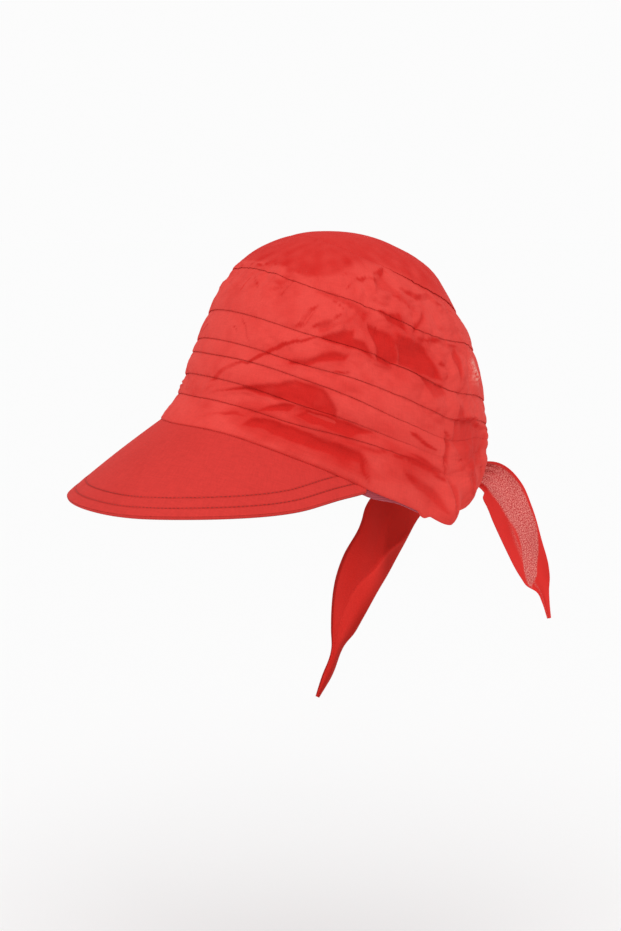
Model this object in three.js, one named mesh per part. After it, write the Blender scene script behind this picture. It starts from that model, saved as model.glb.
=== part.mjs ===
// A cotton sun cap: a head-scarf crown sewn in sloping tucks and gathered at the nape, a stiff
// visor, a sweatband, and a knot with two hanging ties.
// Millimetres. +Z is up, -Y is the front and +X is the wearer's left. The origin is the middle of
// the head opening, level with the rim beside the ears.
import * as THREE from "three";
import { mergeVertices } from "three/addons/utils/BufferGeometryUtils.js";

// The head that the cap fits, measured inside the sweatband.
const HEAD_LENGTH = 203;
const HEAD_WIDTH = 163;

// Cloth thicknesses, and the gap left between two pieces that are sewn together.
const CROWN_CLOTH = 1.6;
const BAND_CLOTH = 1.0;
const TIE_CLOTH = 1.2;
const GAP = 0.3;

// Crown: how high its top and its front rim are, how far a tuck stands out, how deep the folds are.
const CROWN_HEIGHT = 155;
const RIM_RISE = 44;
const TUCK_STEP = 1.5;
const BAND_PUFF = 1.2;
const GATHER_DEPTH = 8;
const DENT_DEPTH = 2.2;

// Visor: length along its slope, slope, how far round each side it reaches, and board thickness.
const VISOR_LENGTH = 75;
const VISOR_SLOPE = 38;
const VISOR_REACH = 79;
const VISOR_THICKNESS = 2.4;
const VISOR_CAMBER = 0.8;

// Sweatband: height, and how far it shows below the rim.
const BAND_HEIGHT = 24;
const BAND_DROP = 2.4;

// Knot at the nape.
const KNOT_WIDTH = 21;
const KNOT_DEPTH = 15;
const KNOT_HEIGHT = 19;
const KNOT_LIFT = 3.5;

// Ties: cut length of each from knot to tip, and its greatest width as it hangs.
const NEAR_TIE_LENGTH = 110;
const NEAR_TIE_WIDTH = 25;
const FAR_TIE_LENGTH = 192;
const FAR_TIE_WIDTH = 29;

// Rim height round the head, as shares of RIM_RISE.
const RIM = [
  { angle: 0, height: 1.0 },
  { angle: 30, height: 0.93 },
  { angle: 60, height: 0.55 },
  { angle: 90, height: 0.0 },
  { angle: 112, height: -0.3 },
  { angle: 135, height: -0.15 },
  { angle: 160, height: -0.09 },
  { angle: 180, height: -0.1 },
];

// Crown sections from the rim to the top. along is the share of the cloth's run from rim to top and
// rise the share of the height gained. front, side and back are shares of the rim's half length and width.
const CROWN = [
  { along: 0.0, rise: 0.0, front: 1.0, side: 0.985, back: 0.91 },
  { along: 0.08, rise: 0.1, front: 0.88, side: 0.995, back: 0.95 },
  { along: 0.23, rise: 0.3, front: 0.785, side: 0.985, back: 0.975 },
  { along: 0.377, rise: 0.5, front: 0.685, side: 0.93, back: 0.925 },
  { along: 0.533, rise: 0.7, front: 0.58, side: 0.82, back: 0.78 },
  { along: 0.66, rise: 0.85, front: 0.435, side: 0.655, back: 0.64 },
  { along: 0.79, rise: 0.95, front: 0.25, side: 0.4, back: 0.39 },
  { along: 1.0, rise: 1.0, front: 0.0, side: 0.0, back: 0.0 },
];

// Tucks from the rim up, as the share of the way up the cloth where each folded edge lies at the front,
// the temple, the ear, behind the ear and at the nape. step is how much of TUCK_STEP the edge stands
// out ahead of the ear, and stepBack behind it.
const TUCK_ANGLES = { front: 0, temple: 45, ear: 90, behind: 130, nape: 180 };
const TUCKS = [
  { front: 0.105, temple: 0.1, ear: 0.143, behind: 0.095, nape: 0.055, step: 0.9, stepBack: 0.0 },
  { front: 0.19, temple: 0.172, ear: 0.182, behind: 0.14, nape: 0.08, step: 1.0, stepBack: 0.0 },
  { front: 0.273, temple: 0.26, ear: 0.242, behind: 0.185, nape: 0.11, step: 1.0, stepBack: 0.3 },
  { front: 0.33, temple: 0.306, ear: 0.308, behind: 0.235, nape: 0.155, step: 0.9, stepBack: 1.0 },
  { front: 0.445, temple: 0.412, ear: 0.395, behind: 0.305, nape: 0.225, step: 0.9, stepBack: 1.0 },
];
const TOP_SEAM = { front: 0.62, temple: 0.58, ear: 0.532, behind: 0.45, nape: 0.375, step: 1.0, stepBack: 1.0 };
const TOP_TUCK = { front: 0.86, temple: 0.82, ear: 0.73, behind: 0.59, nape: 0.49, step: 0.0, stepBack: 1.0 };

// Folds gathered towards the nape, on each side. angle and spread are in degrees round the head, lean is
// how far the fold turns to the back by its upper end, low and high are its ends up the cloth. height is how
// far it stands out and sag how far its lower end hangs below the rim, as shares of GATHER_DEPTH.
const GATHERS = [
  { angle: 111, lean: 4, spread: 10, low: -0.06, high: 0.12, height: 0.9, sag: 0.6 },
  { angle: 129, lean: -6, spread: 9, low: -0.04, high: 0.2, height: 0.75, sag: 0.15 },
  { angle: 148, lean: -4, spread: 9, low: -0.03, high: 0.24, height: 0.75, sag: 0.0 },
  { angle: 165, lean: -6, spread: 7.5, low: -0.03, high: 0.22, height: 0.65, sag: 0.0 },
];

// Slack dents pressed in between the tucks, on each side: place, half extents and depth.
const DENTS = [
  { angle: 62, along: 0.16, lean: -40, wide: 26, tall: 0.028, depth: 0.9 },
  { angle: 58, along: 0.06, lean: -60, wide: 22, tall: 0.024, depth: 0.8 },
  { angle: 84, along: 0.36, lean: -60, wide: 14, tall: 0.035, depth: 1.0 },
  { angle: 76, along: 0.49, lean: 30, wide: 9, tall: 0.045, depth: 0.8 },
  { angle: 100, along: 0.43, lean: -20, wide: 12, tall: 0.035, depth: 0.9 },
  { angle: 30, along: 0.54, lean: 30, wide: 5, tall: 0.05, depth: 0.6 },
];

// Visor width from the middle (0) to its end (1), as a share of VISOR_LENGTH.
const VISOR = [
  { round: 0.0, width: 1.0 },
  { round: 0.25, width: 0.97 },
  { round: 0.5, width: 0.79 },
  { round: 0.7, width: 0.54 },
  { round: 0.88, width: 0.22 },
  { round: 1.0, width: 0.02 },
];

// The route that each tie hangs along, measured from its root at the knot in shares of the tie's length.
const NEAR_TIE_ROUTE = [
  { left: 0.0, back: 0.0, up: 0.0 },
  { left: 0.033, back: 0.08, up: -0.035 },
  { left: 0.061, back: 0.152, up: -0.13 },
  { left: 0.084, back: 0.197, up: -0.25 },
  { left: 0.121, back: 0.29, up: -0.511 },
  { left: 0.15, back: 0.37, up: -0.72 },
  { left: 0.173, back: 0.415, up: -0.92 },
];
const FAR_TIE_ROUTE = [
  { left: 0.0, back: 0.0, up: 0.0 },
  { left: -0.05, back: -0.002, up: -0.03 },
  { left: -0.13, back: -0.034, up: -0.07 },
  { left: -0.2, back: -0.078, up: -0.12 },
  { left: -0.245, back: -0.137, up: -0.225 },
  { left: -0.277, back: -0.19, up: -0.335 },
  { left: -0.314, back: -0.262, up: -0.565 },
  { left: -0.325, back: -0.29, up: -0.68 },
  { left: -0.33, back: -0.34, up: -0.783 },
];

// Tie sections from knot to tip: width as a share of the tie's own, cup how far the edges stand forward of
// the middle as a share of the width there, and turn the angle in degrees that its face is turned by.
const NEAR_TIE = [
  { along: 0.0, width: 0.62, cup: 0.2, turn: 0 },
  { along: 0.1, width: 0.86, cup: 0.2, turn: 0 },
  { along: 0.3, width: 1.0, cup: 0.18, turn: 0 },
  { along: 0.52, width: 0.84, cup: 0.16, turn: 0 },
  { along: 0.7, width: 0.6, cup: 0.14, turn: 0 },
  { along: 0.8, width: 0.3, cup: 0.1, turn: 6 },
  { along: 0.9, width: 0.17, cup: 0.05, turn: 12 },
  { along: 1.0, width: 0.09, cup: 0.0, turn: 16 },
];
const FAR_TIE = [
  { along: 0.0, width: 0.4, cup: -0.1, turn: 0 },
  { along: 0.12, width: 0.56, cup: -0.12, turn: 0 },
  { along: 0.27, width: 1.0, cup: -0.16, turn: 0 },
  { along: 0.5, width: 0.98, cup: -0.18, turn: 0 },
  { along: 0.64, width: 0.8, cup: -0.18, turn: 0 },
  { along: 0.76, width: 0.5, cup: -0.14, turn: -4 },
  { along: 0.83, width: 0.3, cup: -0.08, turn: -8 },
  { along: 0.93, width: 0.22, cup: -0.04, turn: -12 },
  { along: 1.0, width: 0.08, cup: 0.0, turn: -16 },
];

// How finely each surface is divided.
const FRONT_COLUMNS = 17;
const BACK_COLUMNS = 23;
const GATHER_START = 102;
const CROWN_LINING_ROWS = 5;
const BAND_ROWS = [0, 0.5, 1];
const TOP_ROWS = 6;
const VISOR_COLUMNS = 30;
const TIE_SECTIONS = 22;
const NORMAL_STEP = 1e-3;
const HEM_LEVEL = 0.06;

// What follows from the sizes.
const WALL_TO_BAND = CROWN_CLOTH + GAP;
const RIM_HALF_LENGTH = HEAD_LENGTH / 2 + BAND_CLOTH + WALL_TO_BAND;
const RIM_HALF_WIDTH = HEAD_WIDTH / 2 + BAND_CLOTH + WALL_TO_BAND;
const CROWN_RUN = 1.2 * CROWN_HEIGHT;
const SEAM_SHARE = GAP / 2 / CROWN_RUN;
const BAND_SHARE = BAND_HEIGHT / CROWN_RUN;
const radians = THREE.MathUtils.degToRad;

// A smooth curve through one column of a table. The ends are level where levelStart or levelEnd says so.
function curveOf(rows, key, column, { levelStart = false, levelEnd = false } = {}) {
  const last = rows.length - 1;
  const slopeBetween = (i) => (rows[i + 1][column] - rows[i][column]) / (rows[i + 1][key] - rows[i][key]);
  const slopeAt = (i) => {
    if (i === 0) return levelStart ? 0 : slopeBetween(0);
    if (i === last) return levelEnd ? 0 : slopeBetween(last - 1);
    const before = rows[i][key] - rows[i - 1][key];
    const after = rows[i + 1][key] - rows[i][key];
    return (slopeBetween(i - 1) * after + slopeBetween(i) * before) / (before + after);
  };
  return (at) => {
    const x = THREE.MathUtils.clamp(at, rows[0][key], rows[last][key]);
    let i = 0;
    while (i < last - 1 && x > rows[i + 1][key]) i += 1;
    const span = rows[i + 1][key] - rows[i][key];
    const s = (x - rows[i][key]) / span;
    const rest = 1 - s;
    return (
      rows[i][column] * (1 + 2 * s) * rest * rest +
      rows[i + 1][column] * (3 - 2 * s) * s * s +
      slopeAt(i) * span * s * rest * rest -
      slopeAt(i + 1) * span * rest * s * s
    );
  };
}

const rimHeight = curveOf(RIM, "angle", "height", { levelStart: true, levelEnd: true });
const crownRise = curveOf(CROWN, "along", "rise", { levelEnd: true });
const crownFront = curveOf(CROWN, "along", "front");
const crownSide = curveOf(CROWN, "along", "side");
const crownBack = curveOf(CROWN, "along", "back");
const visorWidth = curveOf(VISOR, "round", "width", { levelStart: true });

// The crown's plain form: the point at an angle from the front and a share of the way up the cloth.
function crownForm(angle, along) {
  const a = radians(angle);
  const ahead = Math.cos(a);
  const reach = ahead > 0 ? crownFront(along) : crownBack(along);
  const rim = RIM_RISE * rimHeight(Math.abs(angle));
  return new THREE.Vector3(
    RIM_HALF_WIDTH * crownSide(along) * Math.sin(a),
    -RIM_HALF_LENGTH * reach * ahead,
    THREE.MathUtils.lerp(rim, CROWN_HEIGHT, crownRise(along)),
  );
}

// The way out of the cloth. It lies level at the rim, so that the hem is cut level too.
function crownNormal(angle, along) {
  const low = Math.max(along - NORMAL_STEP, 0);
  const high = Math.min(along + NORMAL_STEP, 1 - NORMAL_STEP);
  const round = crownForm(angle + 1, high).sub(crownForm(angle - 1, high));
  const up = crownForm(angle, high).sub(crownForm(angle, low));
  const out = round.cross(up).normalize();
  out.z *= THREE.MathUtils.smoothstep(along, 0, HEM_LEVEL);
  return out.normalize();
}

// 0 outside low..high, rising to 1 in the middle.
function swell(at, low, high) {
  if (at <= low || at >= high) return 0;
  return Math.sin((Math.PI * (at - low)) / (high - low)) ** 2;
}

// How far a gathered fold moves the cloth at this place, in a direction given by one of its columns.
function gatherOffset(angle, along, column) {
  const side = Math.abs(angle);
  let sum = 0;
  for (const fold of GATHERS) {
    const up = (along - fold.low) / (fold.high - fold.low);
    const middle = fold.angle + fold.lean * up;
    const across = swell(side, middle - fold.spread, middle + fold.spread);
    sum += fold[column] * across * Math.sqrt(swell(along, fold.low, fold.high));
  }
  return GATHER_DEPTH * sum;
}

function dentOffset(angle, along) {
  const side = Math.abs(angle);
  let sum = 0;
  for (const dent of DENTS) {
    const round = (side - dent.angle) / dent.wide;
    const up = (along - dent.along) / dent.tall + (side - dent.angle) / dent.lean;
    sum += dent.depth * Math.exp(-(round * round + up * up));
  }
  return -DENT_DEPTH * sum;
}

// How far up the cloth a tuck lies, at each angle round the head.
function tuckRun(tuck) {
  const stations = Object.entries(TUCK_ANGLES).map(([place, angle]) => ({ angle, up: tuck[place] }));
  const up = curveOf(stations, "angle", "up", { levelStart: true, levelEnd: true });
  return (angle) => up(Math.abs(angle));
}

const tuckRuns = new Map([...TUCKS, TOP_SEAM, TOP_TUCK].map((tuck) => [tuck, tuckRun(tuck)]));
const tuckAlong = (tuck, angle) => tuckRuns.get(tuck)(angle);

function tuckStep(tuck, angle) {
  const towardsBack = THREE.MathUtils.smoothstep(Math.abs(angle), 70, GATHER_START + 8);
  return TUCK_STEP * THREE.MathUtils.lerp(tuck.step, tuck.stepBack, towardsBack);
}

// A point of the folded cloth, moved out along the plain form's normal. Beside the sweatband the cloth is
// held out, and follows the dents only by the share atBand.
function crownPoint(angle, along, out, atBand = 0.35) {
  const clear = THREE.MathUtils.smoothstep(along, BAND_SHARE, 1.5 * BAND_SHARE);
  const dents = dentOffset(angle, along) * THREE.MathUtils.lerp(atBand, 1, clear);
  const folds = gatherOffset(angle, along, "height") + dents;
  const point = crownForm(angle, along).addScaledVector(crownNormal(angle, along), folds + out);
  point.z -= gatherOffset(angle, along, "sag");
  return point;
}

// The inner face of the cloth.
function liningPoint(angle, along) {
  return crownPoint(angle, along, -CROWN_CLOTH, 0);
}

// A closed solid through loops of points. Each loop goes once round a cut through the solid, and the
// loops join into a ring or, where ring is false, end in flat caps.
function loft(loops, ring) {
  const size = loops[0].length;
  const corner = (loop, point) => loops[loop % loops.length][point % size];
  const triangles = [];
  const quad = (a, b, c, d) => triangles.push([a, b, c], [a, c, d]);
  const spans = ring ? loops.length : loops.length - 1;
  for (let i = 0; i < spans; i += 1) {
    for (let k = 0; k < size; k += 1) {
      quad(corner(i, k), corner(i + 1, k), corner(i + 1, k + 1), corner(i, k + 1));
    }
  }
  if (!ring) {
    const end = loops.length - 1;
    for (let k = 0; k < size / 2 - 1; k += 1) {
      quad(corner(0, k), corner(0, k + 1), corner(0, size - 2 - k), corner(0, size - 1 - k));
      quad(corner(end, k), corner(end, size - 1 - k), corner(end, size - 2 - k), corner(end, k + 1));
    }
  }
  return closedSolid(triangles);
}

// A geometry of these triangles with shared corners merged, without the triangles that have no area,
// and with its faces pointing out.
function closedSolid(triangles) {
  const flat = triangles.flat().flatMap((p) => [p.x, p.y, p.z]);
  const loose = new THREE.BufferGeometry();
  loose.setAttribute("position", new THREE.Float32BufferAttribute(flat, 3));
  const merged = mergeVertices(loose, 1e-4);
  const position = merged.getAttribute("position");
  const kept = [];
  let volume = 0;
  for (let i = 0; i < merged.index.count; i += 3) {
    const [a, b, c] = [0, 1, 2].map((k) => merged.index.getX(i + k));
    if (a === b || b === c || c === a) continue;
    kept.push([a, b, c]);
    const [pa, pb, pc] = [a, b, c].map((k) => new THREE.Vector3().fromBufferAttribute(position, k));
    volume += pa.dot(pb.cross(pc));
  }
  const facingOut = volume > 0 ? kept : kept.map(([a, b, c]) => [a, c, b]);
  merged.setIndex(facingOut.flat());
  merged.computeVertexNormals();
  return merged;
}

// Angles round the whole head from the back, closer together where the cloth is gathered.
function columnAngles() {
  const half = [];
  for (let i = 0; i < BACK_COLUMNS; i += 1) {
    half.push(180 - (i * (180 - GATHER_START)) / BACK_COLUMNS);
  }
  for (let i = 0; i < FRONT_COLUMNS; i += 1) {
    half.push(GATHER_START - (i * GATHER_START) / FRONT_COLUMNS);
  }
  const otherHalf = half.slice(1).reverse().map((angle) => -angle);
  return [...half, 0, ...otherHalf];
}

// Outside points of one band of cloth between two tucks. Its lower edge is folded and stands out, and
// its upper edge is sewn under the next one.
function bandPoints(angle, low, high, step) {
  const rows = [
    { up: 0, out: 1, puff: 0 },
    { up: 0.3, out: 0.55, puff: 0.8 },
    { up: 0.68, out: 0.2, puff: 0.8 },
    { up: 1, out: 0, puff: 0 },
  ];
  return rows.map((row) => {
    const along = THREE.MathUtils.lerp(low, high, row.up);
    return crownPoint(angle, along, row.out * step + row.puff * BAND_PUFF);
  });
}

// The pleated cloth from the rim to the top seam, cut at one angle.
function sideLoop(angle) {
  const seam = tuckAlong(TOP_SEAM, angle) - SEAM_SHARE;
  const lows = [0, ...TUCKS.map((tuck) => tuckAlong(tuck, angle))];
  const highs = [...lows.slice(1), seam];
  const steps = [0.6 * TUCK_STEP, ...TUCKS.map((tuck) => tuckStep(tuck, angle))];
  const outside = lows.flatMap((low, i) => bandPoints(angle, low, highs[i], steps[i]));
  const inside = BAND_ROWS.map((row) => liningPoint(angle, row * BAND_SHARE));
  for (let i = 1; i <= CROWN_LINING_ROWS; i += 1) {
    inside.push(liningPoint(angle, THREE.MathUtils.lerp(BAND_SHARE, seam, i / CROWN_LINING_ROWS)));
  }
  return [...outside, ...inside.reverse()];
}

// The top panel from its seam to the middle, cut at one angle.
function topLoop(angle) {
  const seam = tuckAlong(TOP_SEAM, angle) + SEAM_SHARE;
  const tuck = tuckAlong(TOP_TUCK, angle);
  const outside = bandPoints(angle, seam, tuck, tuckStep(TOP_SEAM, angle));
  for (let i = 0; i < TOP_ROWS; i += 1) {
    const step = i === 0 ? tuckStep(TOP_TUCK, angle) : 0;
    outside.push(crownPoint(angle, THREE.MathUtils.lerp(tuck, 1, i / TOP_ROWS), step));
  }
  const inside = [];
  for (let i = TOP_ROWS - 1; i >= 0; i -= 1) {
    inside.push(liningPoint(angle, THREE.MathUtils.lerp(seam, 1, i / TOP_ROWS)));
  }
  const middle = new THREE.Vector3(0, 0, CROWN_HEIGHT);
  const underMiddle = new THREE.Vector3(0, 0, CROWN_HEIGHT - CROWN_CLOTH);
  return [...outside, middle, underMiddle, ...inside];
}

// The sweatband inside the rim, cut at one angle. It follows the head and not the folds.
function bandLoop(angle) {
  const face = (out) => {
    const rows = BAND_ROWS.map((row) => {
      const along = row * BAND_SHARE;
      return crownForm(angle, along).addScaledVector(crownNormal(angle, along), out);
    });
    const edge = rows[0].clone();
    edge.z -= BAND_DROP;
    return [edge, ...rows];
  };
  return [...face(-WALL_TO_BAND - BAND_CLOTH), ...face(-WALL_TO_BAND).reverse()];
}

// The visor cut at one angle: it starts under the rim and slopes away square to it.
function visorLoop(angle) {
  const round = Math.abs(angle) / VISOR_REACH;
  const length = VISOR_LENGTH * visorWidth(round);
  const a = radians(angle);
  const away = new THREE.Vector3(Math.sin(a) / RIM_HALF_WIDTH, -Math.cos(a) / RIM_HALF_LENGTH, 0).normalize();
  const slope = radians(VISOR_SLOPE);
  const down = away.clone().multiplyScalar(Math.cos(slope)).add(new THREE.Vector3(0, 0, -Math.sin(slope)));
  const square = away.clone().multiplyScalar(Math.sin(slope)).add(new THREE.Vector3(0, 0, Math.cos(slope)));
  const start = crownForm(angle, 0).addScaledVector(away, VISOR_THICKNESS * Math.sin(slope) + GAP - CROWN_CLOTH);
  start.z -= GAP;
  const shares = [0, 0.2, 0.45, 0.7, 0.9, 1];
  const at = (share, depth) => {
    const camber = VISOR_CAMBER * Math.sin(Math.PI * share) * visorWidth(round);
    return start.clone().addScaledVector(down, share * length).addScaledVector(square, camber - depth);
  };
  const upper = shares.map((share) => at(share, share === 1 ? 0.25 * VISOR_THICKNESS : 0));
  const lower = shares.map((share) => at(share, (share === 1 ? 0.75 : 1) * VISOR_THICKNESS));
  return [...upper, ...lower.reverse()];
}

// A strip of cloth that hangs from root along a route. face is the way that it looks.
function tieSolid(root, route, table, length, width, face) {
  const curve = new THREE.CatmullRomCurve3(route.map((p) => new THREE.Vector3(p.left, p.back, p.up)));
  const stretch = length / curve.getLength();
  const widthOf = curveOf(table, "along", "width");
  const cupOf = curveOf(table, "along", "cup");
  const turnOf = curveOf(table, "along", "turn");
  const loops = [];
  for (let i = 0; i < TIE_SECTIONS; i += 1) {
    const along = i / (TIE_SECTIONS - 1);
    const middle = curve.getPointAt(along).multiplyScalar(stretch).add(root);
    const tangent = curve.getTangentAt(along);
    const across = new THREE.Vector3().crossVectors(tangent, face).normalize();
    across.applyAxisAngle(tangent, radians(turnOf(along)));
    const out = new THREE.Vector3().crossVectors(across, tangent).normalize();
    const half = (width * widthOf(along)) / 2;
    const at = (side, depth) => {
      const cup = cupOf(along) * 2 * half * side * side;
      return middle.clone().addScaledVector(across, side * half).addScaledVector(out, cup - depth);
    };
    const sides = [-1, -0.6, -0.2, 0.2, 0.6, 1];
    loops.push([...sides.map((s) => at(s, 0)), ...sides.reverse().map((s) => at(s, TIE_CLOTH))]);
  }
  return loft(loops, false);
}

// The knot sits in the hollow between the folds at the nape.
function knotSolid() {
  const wraps = 3;
  const knot = new THREE.SphereGeometry(0.5, 20, 12);
  knot.deleteAttribute("normal");
  knot.deleteAttribute("uv");
  const position = knot.getAttribute("position");
  for (let i = 0; i < position.count; i += 1) {
    const p = new THREE.Vector3().fromBufferAttribute(position, i);
    const ridge = 1 - 0.06 * (1 - Math.cos(2 * Math.PI * wraps * (p.x + 0.5)));
    position.setXYZ(i, p.x * KNOT_WIDTH, p.y * KNOT_DEPTH * ridge, p.z * KNOT_HEIGHT * ridge);
  }
  const solid = mergeVertices(knot, 1e-3);
  solid.computeVertexNormals();
  return solid;
}

const KNOT_CENTRE = new THREE.Vector3(
  0,
  crownPoint(180, 0.04, 0).y + KNOT_DEPTH / 2 + GAP,
  KNOT_LIFT + RIM_RISE * rimHeight(180),
);
const KNOT_TO_TIE = KNOT_WIDTH / 2 + TIE_CLOTH;
const NEAR_ROOT = KNOT_CENTRE.clone().add(new THREE.Vector3(KNOT_TO_TIE, KNOT_DEPTH / 8, TIE_CLOTH));
const FAR_ROOT = KNOT_CENTRE.clone().add(new THREE.Vector3(-(KNOT_WIDTH + TIE_CLOTH) / 2, 0, -TIE_CLOTH));
const TIE_FACE = new THREE.Vector3(0.86, -0.5, 0.14);

const redCotton = { color: 0xdf433d, roughness: 0.85, metalness: 0 };
const MATERIALS = {
  crown: new THREE.MeshStandardMaterial(redCotton),
  visor: new THREE.MeshStandardMaterial({ ...redCotton, color: 0xd8403a }),
  band: new THREE.MeshStandardMaterial({ color: 0x8f2f3f, roughness: 0.6, metalness: 0 }),
  tie: new THREE.MeshStandardMaterial({ ...redCotton, color: 0xd52e29, side: THREE.DoubleSide }),
};

function piece(name, geometry, material) {
  const mesh = new THREE.Mesh(geometry, material);
  mesh.name = name;
  return mesh;
}

function visorAngles() {
  const angles = [];
  for (let i = 0; i <= VISOR_COLUMNS; i += 1) {
    angles.push(VISOR_REACH * Math.sin((Math.PI / 2) * ((2 * i) / VISOR_COLUMNS - 1)));
  }
  return angles;
}

const columns = columnAngles();
const cap = new THREE.Group();
cap.name = "sun_cap";
cap.add(
  piece("pleated_crown", loft(columns.map(sideLoop), true), MATERIALS.crown),
  piece("crown_top", loft(columns.map(topLoop), true), MATERIALS.crown),
  piece("visor", loft(visorAngles().map(visorLoop), false), MATERIALS.visor),
  piece("sweatband", loft(columns.map(bandLoop), true), MATERIALS.band),
);
const knot = piece("knot", knotSolid(), MATERIALS.crown);
knot.position.copy(KNOT_CENTRE);
cap.add(
  knot,
  piece(
    "near_tie",
    tieSolid(NEAR_ROOT, NEAR_TIE_ROUTE, NEAR_TIE, NEAR_TIE_LENGTH, NEAR_TIE_WIDTH, TIE_FACE),
    MATERIALS.tie,
  ),
  piece(
    "far_tie",
    tieSolid(FAR_ROOT, FAR_TIE_ROUTE, FAR_TIE, FAR_TIE_LENGTH, FAR_TIE_WIDTH, TIE_FACE),
    MATERIALS.tie,
  ),
);

export default cap;
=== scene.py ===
# A red cotton sun cap in the form that it has when worn: a crown sewn in sloping tucks and gathered at
# the nape, a stiff stitched visor, a sweatband, and a knot with two hanging ties.
# The cap stands in the row frame: +Z up, -Y forward, +X to the wearer's left. Sizes are in millimetres,
# and each mesh is scaled to metres as it is made.
import math
from collections import namedtuple

import bmesh
import bpy
import numpy as np
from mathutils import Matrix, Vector


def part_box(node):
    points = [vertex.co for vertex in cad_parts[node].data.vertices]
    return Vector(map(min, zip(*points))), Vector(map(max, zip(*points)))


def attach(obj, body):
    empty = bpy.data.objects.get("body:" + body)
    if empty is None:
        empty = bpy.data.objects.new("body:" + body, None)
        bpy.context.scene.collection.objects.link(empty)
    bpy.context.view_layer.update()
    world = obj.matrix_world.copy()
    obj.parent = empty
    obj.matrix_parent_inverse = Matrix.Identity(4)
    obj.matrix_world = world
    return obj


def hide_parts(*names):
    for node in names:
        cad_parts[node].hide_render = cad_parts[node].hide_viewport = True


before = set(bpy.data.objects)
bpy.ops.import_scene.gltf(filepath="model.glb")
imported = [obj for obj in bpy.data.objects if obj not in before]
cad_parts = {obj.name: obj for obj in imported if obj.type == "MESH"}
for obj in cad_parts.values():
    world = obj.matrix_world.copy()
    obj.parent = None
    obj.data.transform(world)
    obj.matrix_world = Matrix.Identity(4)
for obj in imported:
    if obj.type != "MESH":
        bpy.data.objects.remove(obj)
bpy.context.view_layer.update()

MM = 0.001

# Camera.
# It looks at the cap's left front from a little above the visor. The picture is 621 x 931 pixels, so its
# long side takes the full sensor, and a pixel at the cap is about 0.62 mm.
PICTURE_HEIGHT = 931
FOCAL_PIXELS = 2592
CAMERA_AZIMUTH = 60
CAMERA_ELEVATION = 8
CAMERA_DISTANCE = 1600
AIM = Vector((-5.8, -7.0, 10.7))

turn, lift = math.radians(CAMERA_AZIMUTH), math.radians(CAMERA_ELEVATION)
towards_camera = Vector((
    math.sin(turn) * math.cos(lift),
    -math.cos(turn) * math.cos(lift),
    math.sin(lift),
))
camera_data = bpy.data.cameras.new("camera")
camera_data.sensor_width = 36
camera_data.lens = camera_data.sensor_width * FOCAL_PIXELS / PICTURE_HEIGHT
camera_data.clip_end = 100
camera = bpy.data.objects.new("camera", camera_data)
camera.location = (AIM + CAMERA_DISTANCE * towards_camera) * MM
camera.rotation_euler = towards_camera.to_track_quat("Z", "Y").to_euler()
bpy.context.scene.collection.objects.link(camera)
bpy.context.scene.camera = camera


# Pleated crown.
# Thin plain-weave cotton in six bands round the head. Each band's lower edge is folded and stands out
# over the band below, and its upper edge is sewn under the next. Elastic in the hem gathers the nape.
HEAD_LENGTH = 203
HEAD_WIDTH = 163
CROWN_HEIGHT = 155
RIM_RISE = 44
CROWN_CLOTH = 1.6
BAND_CLOTH = 1.0
SEWN_GAP = 0.3
TUCK_STEP = 0.95
BAND_PUFF = 1.2
GATHER_DEPTH = 8
DENT_DEPTH = 2.2
RIM_HALF_LENGTH = HEAD_LENGTH / 2 + BAND_CLOTH + CROWN_CLOTH + SEWN_GAP
RIM_HALF_WIDTH = HEAD_WIDTH / 2 + BAND_CLOTH + CROWN_CLOTH + SEWN_GAP
CROWN_RUN = 1.2 * CROWN_HEIGHT


def table(names, rows):
    """A table of numbers as one array for each named column."""
    return dict(zip(names.split(), np.array(rows, dtype=float).T))


def curve_of(x, y, level_start=False, level_end=False):
    """A smooth curve through the points (x, y), level at an end where asked."""
    gap = np.diff(x)
    between = np.diff(y) / gap
    slope = np.empty_like(y)
    slope[1:-1] = (between[:-1] * gap[1:] + between[1:] * gap[:-1]) / (gap[1:] + gap[:-1])
    slope[0] = 0 if level_start else between[0]
    slope[-1] = 0 if level_end else between[-1]

    def value(at):
        at = np.clip(at, x[0], x[-1])
        i = np.clip(np.searchsorted(x, at, side="right") - 1, 0, len(x) - 2)
        s = (at - x[i]) / gap[i]
        rest = 1 - s
        ends = y[i] * (1 + 2 * s) * rest**2 + y[i + 1] * (3 - 2 * s) * s**2
        return ends + gap[i] * (slope[i] * s * rest**2 - slope[i + 1] * rest * s**2)

    return value


def smooth(at, low, high):
    """0 below low, 1 above high, and a smooth rise between them."""
    s = np.clip((at - low) / (high - low), 0, 1)
    return s * s * (3 - 2 * s)


def swell(at, low, high):
    """0 outside low..high, rising to 1 in the middle."""
    return np.sin(np.pi * np.clip((at - low) / (high - low), 0, 1)) ** 2


# Rim height round the head, in shares of RIM_RISE.
RIM = table("angle height", [
    (0, 1.0), (30, 0.93), (60, 0.55), (90, 0.0), (112, -0.3), (135, -0.15), (160, -0.09), (180, -0.1),
])

# Crown sections from the rim to the top: share of the cloth's run, share of the height, and how far the
# front, side and back reach, in shares of the rim's half length and half width.
CROWN = table("along rise front side back", [
    (0.0, 0.0, 1.0, 0.985, 0.91),
    (0.08, 0.1, 0.88, 0.995, 0.95),
    (0.23, 0.3, 0.785, 0.985, 0.975),
    (0.377, 0.5, 0.685, 0.93, 0.925),
    (0.533, 0.7, 0.58, 0.82, 0.78),
    (0.66, 0.85, 0.435, 0.655, 0.64),
    (0.79, 0.95, 0.25, 0.4, 0.39),
    (1.0, 1.0, 0.0, 0.0, 0.0),
])

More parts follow.
